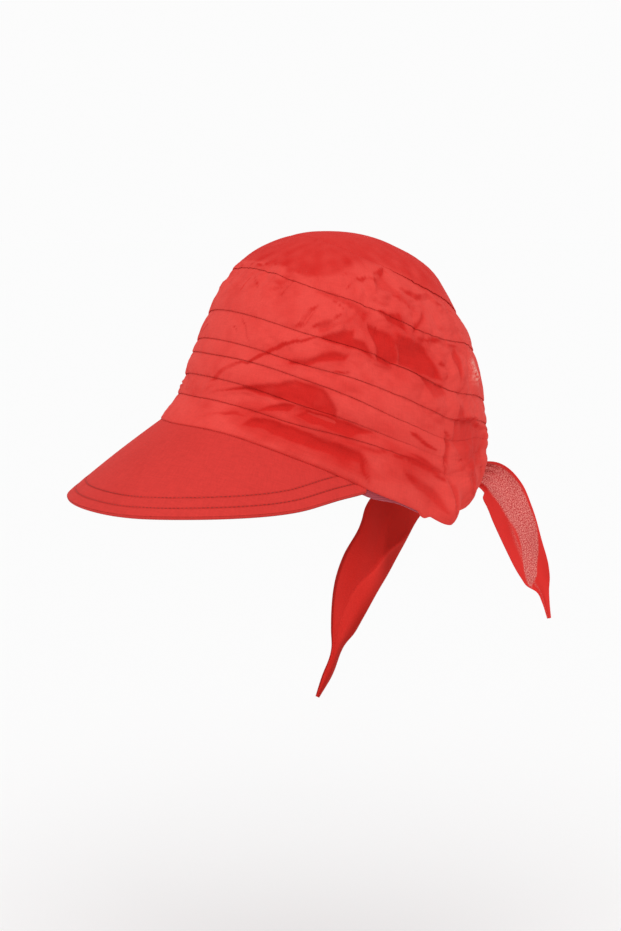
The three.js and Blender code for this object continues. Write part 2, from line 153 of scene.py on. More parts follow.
# Tucks from the rim up. Each line is at a share of the run at the front, the temple, the ear, behind the
# ear and at the nape, and stands out by a share of TUCK_STEP ahead of the ear and behind it.
TUCK_ANGLES = np.array([0.0, 45.0, 90.0, 130.0, 180.0])
Tuck = namedtuple("Tuck", "front temple ear behind nape step step_back")
TUCKS = [
    Tuck(0.105, 0.1, 0.143, 0.095, 0.055, 0.9, 0.0),
    Tuck(0.19, 0.172, 0.182, 0.14, 0.08, 1.0, 0.0),
    Tuck(0.273, 0.26, 0.242, 0.185, 0.11, 1.0, 0.3),
    Tuck(0.33, 0.306, 0.308, 0.235, 0.155, 0.9, 1.0),
    Tuck(0.445, 0.412, 0.395, 0.305, 0.225, 0.9, 1.0),
]
TOP_SEAM = Tuck(0.62, 0.58, 0.532, 0.45, 0.375, 1.0, 1.0)
TOP_TUCK = Tuck(0.86, 0.82, 0.73, 0.59, 0.49, 0.0, 1.0)

# Large folds gathered towards the nape, and slack dents pressed in between the tucks, on each side.
Gather = namedtuple("Gather", "angle lean spread low high height sag")
GATHERS = [
    Gather(111, 4, 10, -0.06, 0.12, 0.9, 0.6),
    Gather(129, -6, 9, -0.04, 0.2, 0.75, 0.15),
    Gather(102.5, 0, 3.2, -0.05, 0.05, 0.0, 0.36),
    Gather(148, -4, 9, -0.03, 0.24, 0.4, 0.0),
    Gather(165, -6, 7.5, -0.03, 0.22, 0.45, 0.0),
]
Dent = namedtuple("Dent", "angle along lean wide tall depth")
DENTS = [
    Dent(62, 0.16, -40, 26, 0.028, 0.9),
    Dent(58, 0.06, -60, 22, 0.024, 0.8),
    Dent(84, 0.36, -60, 14, 0.035, 1.0),
    Dent(76, 0.49, 30, 9, 0.045, 0.8),
    Dent(100, 0.43, -20, 12, 0.035, 0.9),
    Dent(30, 0.54, 30, 5, 0.05, 0.6),
]

# Creases of the slack cloth, from one place to another as degrees round and millimetres up the cloth.
# A crease is a narrow facet that is pointed at both ends: half its width and the step across it in
# millimetres. With lip 1 the cloth on its left, going along it, stands out over the cloth on its right.
# With lip 0 it is a valley, or a ridge where its depth is below zero.
Crease = namedtuple("Crease", "from_angle from_up to_angle to_up width depth lip")
CREASES = [
    # Top panel: the ridge just above its seam, and the slack over the ear.
    Crease(-24, 123, 24, 118.5, 2.6, -1.0, 0.2),
    Crease(14, 119.5, 56, 111.5, 2.6, -1.1, 0.2),
    Crease(60, 118, 96, 117, 2.0, 0.9, 0.9),
    Crease(84, 110, 102, 129, 2.6, 1.3, 1.0),
    Crease(101, 128, 97, 108, 2.0, 1.0, 0.8),
    Crease(97, 116, 131, 104, 2.2, 1.2, 1.0),
    Crease(66, 109, 82, 120, 1.8, 0.9, 0.8),
    Crease(112, 105, 101, 92, 1.0, 1.0, -0.8),
    Crease(94, 113, 105, 101, 1.0, 0.8, 0.8),
    # Band under the top seam.
    Crease(8, 113, 19, 99, 0.9, 0.9, 0.8),
    Crease(23, 97, 19, 84, 0.9, 0.6, 0.6),
    Crease(38, 110, 32, 98, 1.0, 0.9, 0.8),
    Crease(-12, 114, -10, 101, 1.0, 0.8, 0.8),
    Crease(53, 93, 44, 79, 1.0, 0.8, 0.7),
    Crease(57, 103, 68, 94, 1.0, 0.8, 0.7),
    Crease(41, 78, 55, 97, 2.0, 0.9, 0.9),
    Crease(49, 81, 66, 93, 1.6, 1.0, 1.0),
    Crease(64, 92, 72, 73, 1.6, 0.9, -0.8),
    Crease(84, 102, 101, 91, 2.0, 1.2, 1.0),
    Crease(88, 90, 93, 75, 1.2, -0.8, 0.4),
    Crease(101, 91, 131, 81, 1.6, 1.2, 1.0),
    Crease(101, 88, 118, 73, 1.6, 1.0, 1.0),
    # Middle bands at the temple and above the ear.
    Crease(12, 81, 24, 61, 0.9, 0.8, 0.8),
    Crease(45, 74, 41, 66, 1.0, 0.7, 0.6),
    Crease(7, 74, 15, 67, 0.8, 0.7, 0.8),
    Crease(5, 31, 27, 52, 1.7, 0.9, 1.0),
    Crease(21, 47, 56, 78, 1.7, 1.2, 1.0),
    Crease(60, 58, 84, 60, 1.5, 0.6, 0.9),
    Crease(74, 19, 82, 5, 1.6, 1.0, 0.8),
    Crease(85, 25, 113, 20, 2.0, 1.3, 1.0),
    Crease(94, 40, 107, 34, 1.6, 1.0, 1.0),
    # Where the bands run into the gathers: each fold hangs over the next one back.
    Crease(110, 26, 111, 46, 1.6, 1.6, 1.0),
    Crease(115, 3, 109, 31, 1.6, 2.2, 1.0),
    Crease(127, 8, 117, 33, 1.7, 2.4, 1.0),
    Crease(120, 29, 110, 45, 1.5, 1.8, 1.0),
    Crease(114, 50, 150, 31, 1.6, 1.7, 1.0),
    Crease(143, 5, 137, 31, 1.7, 1.8, 1.0),
]

# Flat facets where the slack cloth has folded in, each as far as it is pressed in, how deep a red of
# painted shade it carries, and its corners as degrees round and millimetres up the cloth.
Facet = namedtuple("Facet", "press share corners")
FACETS = [
    # Over the ear, above and below the top seam.
    Facet(1.2, 0.95, [(55, 75), (60, 80), (71, 86), (70, 80), (75, 79), (81, 73), (67, 74), (59, 74)]),
    Facet(1.4, 0.95, [(79, 92), (88, 88), (91, 80), (94, 73), (88, 71), (81, 73), (79, 85)]),
    Facet(1.3, 0.85, [(92, 88), (105, 86), (109, 79), (112, 69), (101, 69), (94, 72), (93, 81)]),
    Facet(0.9, 0.9, [(89, 98), (97, 99), (98, 91), (91, 95)]),
    Facet(0.7, 0.5, [(53, 84), (58, 87), (66, 88), (72, 97), (70, 91), (55, 79)]),
    Facet(0.7, 0.5, [(51, 107), (60, 107), (70, 102), (82, 100), (76, 93), (70, 99), (58, 102)]),
    Facet(0.7, 0.6, [(101, 69), (111, 66), (112, 61), (105, 59)]),
    Facet(0.8, 0.75, [(122, 81), (126, 82), (122, 64), (120, 76)]),
    Facet(0.7, 0.75, [(101, 92), (103, 97), (113, 104), (108, 98)]),
    Facet(0.6, 0.45, [(80, 107), (97, 123), (96, 117), (106, 101), (94, 112), (89, 112)]),
    # Along the temple, across the middle bands.
    Facet(1.2, 0.9, [(43, 57), (55, 65), (60, 69), (67, 71), (65, 67), (53, 60), (43, 55)]),
    Facet(1.5, 0.9, [
        (12, 25), (29, 33), (38, 39), (47, 45), (58, 46), (65, 37), (65, 32), (48, 33), (31, 30),
    ]),
    Facet(1.0, 0.9, [(35, 19), (39, 26), (43, 30), (48, 31), (46, 25)]),
    Facet(1.2, 0.8, [(50, 24), (54, 30), (65, 32), (79, 33), (68, 25), (56, 22)]),
    # Along the bottom band.
    Facet(1.4, 1.0, [(33, 8), (34, 13), (45, 16), (61, 16), (74, 18), (81, 5), (75, 12), (63, 9), (47, 10)]),
    Facet(0.7, 0.75, [(17, 9), (28, 15), (31, 14), (24, 10)]),
    Facet(0.7, 0.65, [(66, 20), (76, 23), (88, 28), (80, 21)]),
    Facet(0.9, 0.6, [(95, 27), (101, 27), (112, 22), (104, 22)]),
    Facet(1.0, 0.65, [(92, 18), (105, 15), (112, 5), (106, 7), (98, 12)]),
    Facet(0.7, 0.65, [(97, 41), (105, 35), (100, 36)]),
    # In the gathers behind the ear.
    Facet(1.0, 0.45, [(118, 49), (133, 42), (142, 33), (140, 20), (126, 13), (120, 29), (115, 39)]),
    Facet(1.0, 0.75, [(110, 42), (113, 39), (112, 28), (109, 31)]),
    Facet(0.8, 0.6, [(112, 21), (116, 17), (115, 7), (113, 14)]),
    Facet(0.7, 0.7, [(120, 55), (123, 52), (122, 47), (118, 49)]),
]

# Broad patches of painted shade, where the cloth is drawn a little deeper red.
Deep = namedtuple("Deep", "angle up wide tall lean share")
PAINTED_SHADE_PATCHES = [
    Deep(96, 82, 24, 20, -0.3, 0.22),
    Deep(62, 18, 44, 16, 0.1, 0.3),
]

# One worn place behind the left ear, where the cloth is thin and light comes through between the threads.
WORN_PLACE = Deep(137, 66, 6, 11, 0.0, 1.1)


# How far up the cloth the smooth part of the top panel starts. Below this it is loose and pale, and above
# it the cloth is drawn TOP_RED of the way to the deeper red of the painted shade.
TOP_RED = 0.78
SMOOTH_TOP = table("angle up", [
    (0, 120.5), (25, 118.5), (45, 113.5), (60, 117), (80, 128), (100, 130), (117, 115), (147, 100), (180, 92),
])


def crown_table_curves():
    """Curves through the columns of the crown's tables."""
    along = CROWN["along"]
    return (
        curve_of(RIM["angle"], RIM["height"], level_start=True, level_end=True),
        curve_of(along, CROWN["rise"], level_end=True),
        curve_of(along, CROWN["front"]),
        curve_of(along, CROWN["side"]),
        curve_of(along, CROWN["back"]),
    )


rim_height, crown_rise, crown_front, crown_side, crown_back = crown_table_curves()


def crown_form(angle, along):
    """The crown's plain form at an angle from the front and a share of the way up the cloth."""
    a = np.radians(angle)
    reach = np.where(np.cos(a) > 0, crown_front(along), crown_back(along))
    rim = RIM_RISE * rim_height(np.abs(angle))
    x = RIM_HALF_WIDTH * crown_side(along) * np.sin(a)
    y = -RIM_HALF_LENGTH * reach * np.cos(a)
    z = rim + (CROWN_HEIGHT - rim) * crown_rise(along)
    return np.stack(np.broadcast_arrays(x, y, z), axis=-1)


def unit(vectors):
    return vectors / np.linalg.norm(vectors, axis=-1, keepdims=True)


def crown_normal(angle, along):
    """The way out of the cloth, level at the rim."""
    step, hem_level = 1e-3, 0.06
    low = np.maximum(along - step, 0)
    high = np.minimum(along + step, 1 - step)
    round_ = crown_form(angle + 1, high) - crown_form(angle - 1, high)
    up = crown_form(angle, high) - crown_form(angle, low)
    out = unit(np.cross(round_, up))
    out[..., 2] *= smooth(along, 0, hem_level)
    return unit(out)


def gathered(angle, along, column):
    """How far the large gathered folds move the cloth in the direction of one of their columns."""
    total = 0
    for fold in GATHERS:
        up = (along - fold.low) / (fold.high - fold.low)
        middle = fold.angle + fold.lean * up
        across = swell(np.abs(angle), middle - fold.spread, middle + fold.spread)
        total = total + getattr(fold, column) * across * np.sqrt(swell(along, fold.low, fold.high))
    return GATHER_DEPTH * total


def dented(angle, along):
    total = 0
    for dent in DENTS:
        round_ = (np.abs(angle) - dent.angle) / dent.wide
        up = (along - dent.along) / dent.tall + (np.abs(angle) - dent.angle) / dent.lean
        total = total + dent.depth * np.exp(-(round_**2 + up**2))
    return -DENT_DEPTH * total


def round_scale(angle, along):
    """Millimetres round the plain form for each degree, at one place."""
    a = math.radians(angle)
    reach = crown_front(along) if math.cos(a) > 0 else crown_back(along)
    return math.radians(1) * math.hypot(
        RIM_HALF_WIDTH * crown_side(along) * math.cos(a),
        RIM_HALF_LENGTH * reach * math.sin(a),
    )


def crease_relief(crease, scale, round_, up):
    """How far one crease moves the cloth out, at millimetres round from its start and up the cloth."""
    x, y = round_, up - crease.from_up
    length_x = (crease.to_angle - crease.from_angle) * scale
    length_y = crease.to_up - crease.from_up
    length = math.hypot(length_x, length_y)
    share = (x * length_x + y * length_y) / length**2
    pointed = 0.12 + 0.88 * np.clip(1 - np.abs(2 * share - 1), 0, 1) ** 0.7
    bow = 0.03 * length * (4 * share * (1 - share) - 0.5)
    beside = ((y * length_x - x * length_y) / length - bow) / (crease.width * pointed)
    past = np.maximum(np.abs(beside) - 1, 0)
    step = 0.5 * np.clip(beside, -1, 1) * np.exp(-past / 1.6)
    valley = -np.exp(-1.4 * np.abs(beside))
    ends = smooth(share, -0.04, 0.25) * smooth(1 - share, -0.04, 0.25)
    return crease.depth * ends * (crease.lip * step + (1 - abs(crease.lip)) * valley)


def inside_facet(corners, x, y):
    """How far inside a facet each place is, in millimetres. It is below zero outside the facet."""
    far, inside = np.inf, False
    for (x0, y0), (x1, y1) in zip(corners, corners[1:] + corners[:1]):
        edge_x, edge_y = x1 - x0, y1 - y0
        share = np.clip(((x - x0) * edge_x + (y - y0) * edge_y) / (edge_x**2 + edge_y**2), 0, 1)
        far = np.minimum(far, np.hypot(x - x0 - share * edge_x, y - y0 - share * edge_y))
        if edge_y:
            inside = inside ^ (((y0 > y) != (y1 > y)) & (x < x0 + edge_x * (y - y0) / edge_y))
    return np.where(inside, far, -far)


def mirrored_facet(facet, turned, raised):
    """The same facet on the wearer's right, a little further round and up."""
    return facet._replace(corners=[(-angle - turned, up + raised) for angle, up in facet.corners])


def mirrored(crease, turned, raised):
    """The same crease on the wearer's right, a little further round and up."""
    return crease._replace(
        from_angle=-crease.from_angle - turned,
        to_angle=-crease.to_angle - turned,
        from_up=crease.from_up + raised,
        to_up=crease.to_up + raised,
        lip=-crease.lip,
    )


def small_creases(count, seed):
    """Short creases all over, deepest over the ears and towards the nape, where the cloth is slackest."""
    random = np.random.default_rng(seed)
    creases = []
    for _ in range(count):
        angle = random.uniform(-180, 180)
        up = random.uniform(6, 150)
        half = random.uniform(3, 11)
        way = random.uniform(-1.1, 1.1)
        over_ear = smooth(abs(angle), 45, 80) * smooth(up, 55, 80)
        slack = 0.3 + 0.7 * max(over_ear, smooth(abs(angle), 90, 150))
        creases.append(Crease(
            angle - 0.6 * half * math.cos(way), up - half * math.sin(way),
            angle + 0.6 * half * math.cos(way), up + half * math.sin(way),
            random.uniform(0.8, 2.6), slack * random.uniform(0.2, 1.0), random.choice((-0.6, 0.8, 1.0)),
        ))
    return creases


RIPPLE_WIDTH = 6.2
RIPPLE_DEPTH = 2.1
RIPPLE_RUN = 24


def nape_ripples(angle, along):
    """Fine folds that the elastic draws in at the nape. They die out up the cloth."""
    back = np.abs(angle)
    waver = 1.3 * np.sin(np.radians(back * 9)) + 0.8 * np.sin(np.radians(angle * 5 + 40))
    ripple = np.sin(np.radians(back * 360 / RIPPLE_WIDTH) + waver + 18 * along)
    drawn_in = RIPPLE_DEPTH * smooth(back, 155, 167)
    return ripple * drawn_in * np.exp(-along * CROWN_RUN / RIPPLE_RUN)


# The folded cloth's relief is worked out once, on a map of the cloth with a point every fifth of a
# degree and 0.4 mm.
MAP_TURN = 0.2
MAP_RUN = 0.4
MAP_START = -6
map_angles = np.arange(-180, 180, MAP_TURN)
map_runs = np.arange(MAP_START, CROWN_RUN + 1, MAP_RUN)


def cloth_noise(size, seed, stretch=1.5, waves=16):
    """Smooth random relief over the map, about `size` millimetres from bump to bump up the cloth and
    longer round it. It joins up at the nape."""
    random = np.random.default_rng(seed)
    total = 0
    for _ in range(waves):
        way = random.uniform(0, 2 * math.pi)
        reach = random.uniform(0.6, 1.5) / size
        turns = round(reach * math.cos(way) / stretch * 2 * math.pi * RIM_HALF_WIDTH)
        round_ = np.radians(turns * map_angles) + random.uniform(0, 2 * math.pi)
        up = 2 * math.pi * reach * math.sin(way) * map_runs
        total = total + np.outer(np.sin(round_), np.cos(up)) + np.outer(np.cos(round_), np.sin(up))
    away_from_middle = smooth(1 - map_runs / CROWN_RUN, 0.03, 0.36)
    return away_from_middle * total / math.sqrt(waves / 2)


# Where the cloth is slack and crumples, as patches: most over the ear, and least on the smooth top.
Slack = namedtuple("Slack", "angle up wide tall share")
SLACK_PLACES = [
    Slack(88, 92, 34, 26, 1.0),
    Slack(118, 72, 30, 34, 0.8),
    Slack(62, 62, 36, 26, 0.55),
    Slack(20, 108, 34, 12, 0.6),
    Slack(50, 22, 46, 20, 0.5),
    Slack(135, 30, 34, 30, 0.6),
    Slack(176, 50, 30, 60, 0.45),
]


def crumpled_map():
    """Random crumples: smooth bulges that meet in sharp creases."""
    angle, up = np.abs(map_angles)[:, None], map_runs[None, :]
    slack = 0.06
    for place in SLACK_PLACES:
        far = ((angle - place.angle) / place.wide) ** 2 + ((up - place.up) / place.tall) ** 2
        slack = np.maximum(slack, place.share * np.exp(-(far**2)))
    bulges = 0
    for size, height, seed in ((24, 1.1, 31), (10, 0.4, 32)):
        bulges = bulges + height * np.sqrt(cloth_noise(size, seed) ** 2 + 0.02)
    return slack * bulges


# Cloth never folds in straight lines: each crease wanders by about half a millimetre.
astray_round = 0.7 * cloth_noise(22, 41) + 0.22 * cloth_noise(9, 42)
astray_up = 0.7 * cloth_noise(22, 43) + 0.22 * cloth_noise(9, 44)


def map_window(corners, margin):
    """The part of the map round some corners: its columns, its rows, millimetres round from the first
    corner, millimetres up the cloth, and millimetres for each degree."""
    angles, runs = [corner[0] for corner in corners], [corner[1] for corner in corners]
    middle_angle = (min(angles) + max(angles)) / 2
    middle_run = (min(runs) + max(runs)) / 2
    scale = round_scale(middle_angle, np.clip(middle_run / CROWN_RUN, 0, 1))
    columns = np.arange(
        math.floor((min(angles) - margin / scale + 180) / MAP_TURN),
        math.ceil((max(angles) + margin / scale + 180) / MAP_TURN),
    )
    low = max(int((min(runs) - margin - MAP_START) / MAP_RUN), 0)
    high = max(min(int((max(runs) + margin - MAP_START) / MAP_RUN), len(map_runs)), low)
    place = columns % len(map_angles)
    round_ = (-180 + columns * MAP_TURN - angles[0])[:, None] * scale + astray_round[place, low:high]
    return place, slice(low, high), round_, map_runs[None, low:high] + astray_up[place, low:high], scale


def creased_map(creases):
    relief = np.zeros((len(map_angles), len(map_runs)))
    for crease in creases:
        ends = [(crease.from_angle, crease.from_up), (crease.to_angle, crease.to_up)]
        place, rows, round_, up, scale = map_window(ends, 9 * crease.width)
        relief[place, rows] += crease_relief(crease, scale, round_, up)
    return relief


def facet_maps(facets):
    """How far the facets are pressed in, with a low crest round each, and how much painted shade they carry.
    """
    relief = np.zeros((len(map_angles), len(map_runs)))
    red = np.zeros_like(relief)
    for facet in facets:
        place, rows, round_, up, scale = map_window(facet.corners, 7)
        corners = [((angle - facet.corners[0][0]) * scale, run) for angle, run in facet.corners]
        inside = inside_facet(corners, round_, up)
        crest = 0.22 * np.exp(-(((inside + 1.0) / 0.8) ** 2))
        relief[place, rows] += facet.press * (crest - smooth(inside, -0.3, 1.8))
        # Painted shade over each facet, with a soft halo of it round the edge.
        halo = 0.72 * smooth(inside, -0.9, 1.1) + 0.28 * smooth(inside, -6, 1)
        red[place, rows] = np.maximum(red[place, rows], facet.share * halo)
    return relief, red


def broad_map():
    """The relief of the large gathers, the dents and the fine folds at the nape."""
    angle, along = map_angles[:, None], map_runs[None, :] / CROWN_RUN
    return gathered(angle, along, "height") + dented(angle, along) + nape_ripples(angle, along)


def turned_away(relief):
    """The slope of the cloth where it turns down or towards the back."""
    rising = np.gradient(relief, MAP_RUN, axis=1)
    back = np.sign(map_angles)[:, None]
    falling = -back * np.gradient(relief, MAP_TURN * round_scale(90, 0), axis=0)
    return rising + 0.5 * falling


def steepness(relief):
    """The slope of the cloth, whichever way it goes."""
    return np.hypot(*np.gradient(relief, MAP_TURN * round_scale(90, 0), MAP_RUN))


def painted_shade_and_wear_map():
    """Painted shade for the cloth's colour: 0 on open cloth, 1 deep in a fold, and below 0 where the cloth is
    worn thin.
    """
    # Painted shade on the creases' flanks, and wherever the cloth turns down or towards the back, away from
    # the light.
    depth = 0.6 * smooth(turned_away(creased), 0.1, 0.45) + 0.5 * smooth(steepness(creased), 0.16, 0.5)
    depth = depth + 0.8 * turned_away(broad + crumpled)
    # The facets' painted shade, and a random tone all over.
    depth = np.maximum(depth, facet_shade) + 0.09 * (1 + cloth_noise(26, 51) + 0.5 * cloth_noise(9, 52))
    angle, up = np.abs(map_angles)[:, None], map_runs[None, :]
    # Broad patches of painted shade.
    for place in PAINTED_SHADE_PATCHES:
        x = (angle - place.angle) / place.wide
        y = (up - place.up - place.lean * (angle - place.angle)) / place.tall
        depth = depth + place.share * smooth(1 - x * x - y * y, 0.0, 0.35)
    start = curve_of(SMOOTH_TOP["angle"], SMOOTH_TOP["up"], level_start=True, level_end=True)(angle)
    soft = 1.5 + 4.5 * smooth(angle, 50, 80) + 10 * smooth(angle, 110, 150)
    # The smooth top panel is drawn TOP_RED of the way to the painted shade's deeper red.
    top = TOP_RED * smooth(up, start - soft, start + soft) + 0.08 * cloth_noise(14, 53)
    x = (map_angles[:, None] - WORN_PLACE.angle) / WORN_PLACE.wide
    y = (up - WORN_PLACE.up) / WORN_PLACE.tall
    worn = WORN_PLACE.share * np.exp(-2 * (x * x + y * y))
    return np.clip(np.maximum(depth, top), 0, 1) - worn


broad = broad_map()
crumpled = crumpled_map()
creased = creased_map(
    CREASES
    + [mirrored(crease, turned=5, raised=-3) for crease in CREASES]
    + small_creases(count=160, seed=7)
)
pressed, facet_shade = facet_maps(FACETS + [mirrored_facet(facet, turned=5, raised=-3) for facet in FACETS])
relief_map = broad + crumpled + creased + pressed
shade_and_wear_map = painted_shade_and_wear_map()


def read_map(values, angle, along):
    """The value of a map at each angle and share of the run, between its points."""
    x = ((angle + 180) / MAP_TURN) % len(map_angles)
    y = np.clip((along * CROWN_RUN - MAP_START) / MAP_RUN, 0, len(map_runs) - 1.001)
    i, k = np.floor(x).astype(int) % len(map_angles), np.floor(y).astype(int)
    s, t = x - np.floor(x), y - k
    after = (i + 1) % len(map_angles)
    low = values[i, k] * (1 - s) + values[after, k] * s
    high = values[i, k + 1] * (1 - s) + values[after, k + 1] * s
    return low * (1 - t) + high * t


def cloth_offset(angle, along):
    """How far the folds and creases move the cloth out of the plain form."""
    return read_map(relief_map, angle, along)


def shade_and_wear_share(angle, along):
    return read_map(shade_and_wear_map, angle, along)


def crown_points(angle, along, out):
    """Points of the folded cloth, moved out by `out` along the plain form's normal."""
    move = cloth_offset(angle, along) + out
    points = crown_form(angle, along) + crown_normal(angle, along) * move[..., None]
    points[..., 2] -= gathered(angle, along, "sag")
    return points


def lining_points(angle, along):
    """The cloth's inner face. It follows the gathers, and not the dents and creases."""
    move = gathered(angle, along, "height") - CROWN_CLOTH
    points = crown_form(angle, along) + crown_normal(angle, along) * move[..., None]
    points[..., 2] -= gathered(angle, along, "sag")
    return points


def tuck_along(tuck, angle):
    stations = np.array([tuck.front, tuck.temple, tuck.ear, tuck.behind, tuck.nape])
    return curve_of(TUCK_ANGLES, stations, level_start=True, level_end=True)(np.abs(angle))


def tuck_share(tuck, angle):
    """How much of TUCK_STEP the folded edge stands out at each angle."""
    return tuck.step + (tuck.step_back - tuck.step) * smooth(np.abs(angle), 70, 110)


def pucker(angle, line):
    """Small waves of the cloth along one line of sewing."""
    random = np.random.default_rng(line)
    total = 0
    for wave in (37, 53, 71, 94, 131):
        total = total + np.sin(np.radians(angle * wave) + random.uniform(0, 2 * math.pi))
    return 0.07 * total


# A folded edge, from the cloth sewn under it to its face: millimetres up from the line, the share of
# the tuck's step that the cloth stands out, and the painted shade in the groove under the fold.
FOLDED_EDGE = table("up out groove", [
    (1.2, -0.12, 1.0),
    (0.9, 0.08, 1.0),
    (0.42, 0.26, 1.0),
    (0.16, 0.36, 1.0),
    (-0.04, 0.56, 0.5),
    (0.02, 0.82, 0.0),
    (0.4, 1.0, 0.0),
])


class Rows:
    """Rows of a cut through the crown, each with its place on the cloth and its share of painted shade,
    deepest in the folds.
    """

    def __init__(self, angle):
        self.angle = angle
        self.points = []
        self.run = []
        self.fold = []

    def add(self, points, along, fold):
        self.points.append(points)
        self.run.append(np.broadcast_to(along * CROWN_RUN, self.angle.shape))
        self.fold.append(np.broadcast_to(fold, self.angle.shape))

    def add_edge(self, low, share, line):
        """The folded lower edge of a band, with painted shade in the groove under it."""
        for up, out, groove in zip(*FOLDED_EDGE.values()):
            along = low + share * up / CROWN_RUN
            deep = np.maximum(shade_and_wear_share(self.angle, along), groove * smooth(share, 0.1, 0.5))
            moved = out * share * TUCK_STEP + pucker(self.angle, line)
            self.add(crown_points(self.angle, along, moved), along, deep)

    def add_band(self, low, high, share, count, line):
        """The face of a band, from just above its lower edge to where it is sewn under the next."""
        tall = (high - low) * CROWN_RUN
        start = 1.0 / tall
        for i in range(count):
            up = np.clip(start + (1 - start) * i / (count - 1), 0, 1)
            along = low + (high - low) * up
            out = share * TUCK_STEP * (1 - up) ** 1.7
            out = out + np.minimum(0.93 * BAND_PUFF, 0.08 * tall) * np.sin(np.pi * up) ** 0.8
            out = out + pucker(self.angle, line) * np.exp(-up * tall / 4)
            out = out + pucker(self.angle, line + 1) * np.exp(-(1 - up) * tall / 4)
            self.add(crown_points(self.angle, along, out), along, shade_and_wear_share(self.angle, along))


def grid_mesh(name, grid, ring, uv=None, fold=None):
    """A closed solid from loops of points in millimetres: grid[loop][point]. The loops join into a ring
    or, where ring is false, end in flat caps. uv is the place on the cloth, in millimetres."""
    loops, size, _ = grid.shape
    corner = np.arange(loops * size).reshape(loops, size)
    after = np.roll(corner, -1, axis=0) if ring else corner[1:]
    here = corner if ring else corner[:-1]
    faces = np.stack([here, after, np.roll(after, -1, axis=1), np.roll(here, -1, axis=1)], axis=-1)
    faces = faces.reshape(-1, 4).tolist()
    if not ring:
        for end in (corner[0], corner[-1]):
            for k in range(size // 2 - 1):
                faces.append([end[k], end[k + 1], end[size - 2 - k], end[size - 1 - k]])
    mesh = bpy.data.meshes.new(name)
    mesh.from_pydata((grid.reshape(-1, 3) * MM).tolist(), [], faces)
    corners = np.empty(len(mesh.loops), dtype=np.int32)
    mesh.loops.foreach_get("vertex_index", corners)
    if uv is not None:
        layer = mesh.uv_layers.new(name="cloth")
        layer.data.foreach_set("uv", (uv.reshape(-1, 2) * MM)[corners].astype(np.float32).ravel())
    # The fold attribute carries painted shade for the cloth materials, a worn place on the crown, and the
    # ties' hems and a painted highlight.
    if fold is not None:
        attribute = mesh.attributes.new("fold", "FLOAT", "POINT")
        attribute.data.foreach_set("value", fold.astype(np.float32).ravel())
    solid = bmesh.new()
    solid.from_mesh(mesh)
    bmesh.ops.remove_doubles(solid, verts=solid.verts, dist=2e-6)
    bmesh.ops.recalc_face_normals(solid, faces=solid.faces)
    if solid.calc_volume(signed=True) < 0:
        bmesh.ops.reverse_faces(solid, faces=solid.faces)
    solid.to_mesh(mesh)
    solid.free()
    mesh.shade_smooth()
    piece = bpy.data.objects.new(name, mesh)
    bpy.context.scene.collection.objects.link(piece)
    return piece


def crown_mesh(name, rows):
    """A piece of the crown from its rows."""
    grid = np.stack(rows.points, axis=1)
    run = np.stack(rows.run, axis=1)
    round_ = np.radians(rows.angle)[:, None] * RIM_HALF_LENGTH * np.ones_like(run)
    return grid_mesh(name, grid, True, np.stack([round_, run], axis=-1), np.stack(rows.fold, axis=1))


def linear(colour):
    """An sRGB hex colour as a linear one."""
    parts = [int(colour[i:i + 2], 16) / 255 for i in (1, 3, 5)]
    return [c / 12.92 if c <= 0.04045 else ((c + 0.055) / 1.055) ** 2.4 for c in parts] + [1.0]


def add_node(tree, kind, settings=None, inputs=None, links=None):
    """A node with its settings, its own input values, and links from other nodes' outputs."""
    node = tree.nodes.new(kind)
    for key, value in (settings or {}).items():
        setattr(node, key, value)
    for key, value in (inputs or {}).items():
        node.inputs[key].default_value = value
    for key, (source, output) in (links or {}).items():
        tree.links.new(source.outputs[output], node.inputs[key])
    return node


# Thread spacing of fine cotton is about 0.35 mm. It is drawn three times as coarse, because the real one
# is finer than a pixel of the picture.
DRAWN_THREAD = 1.05


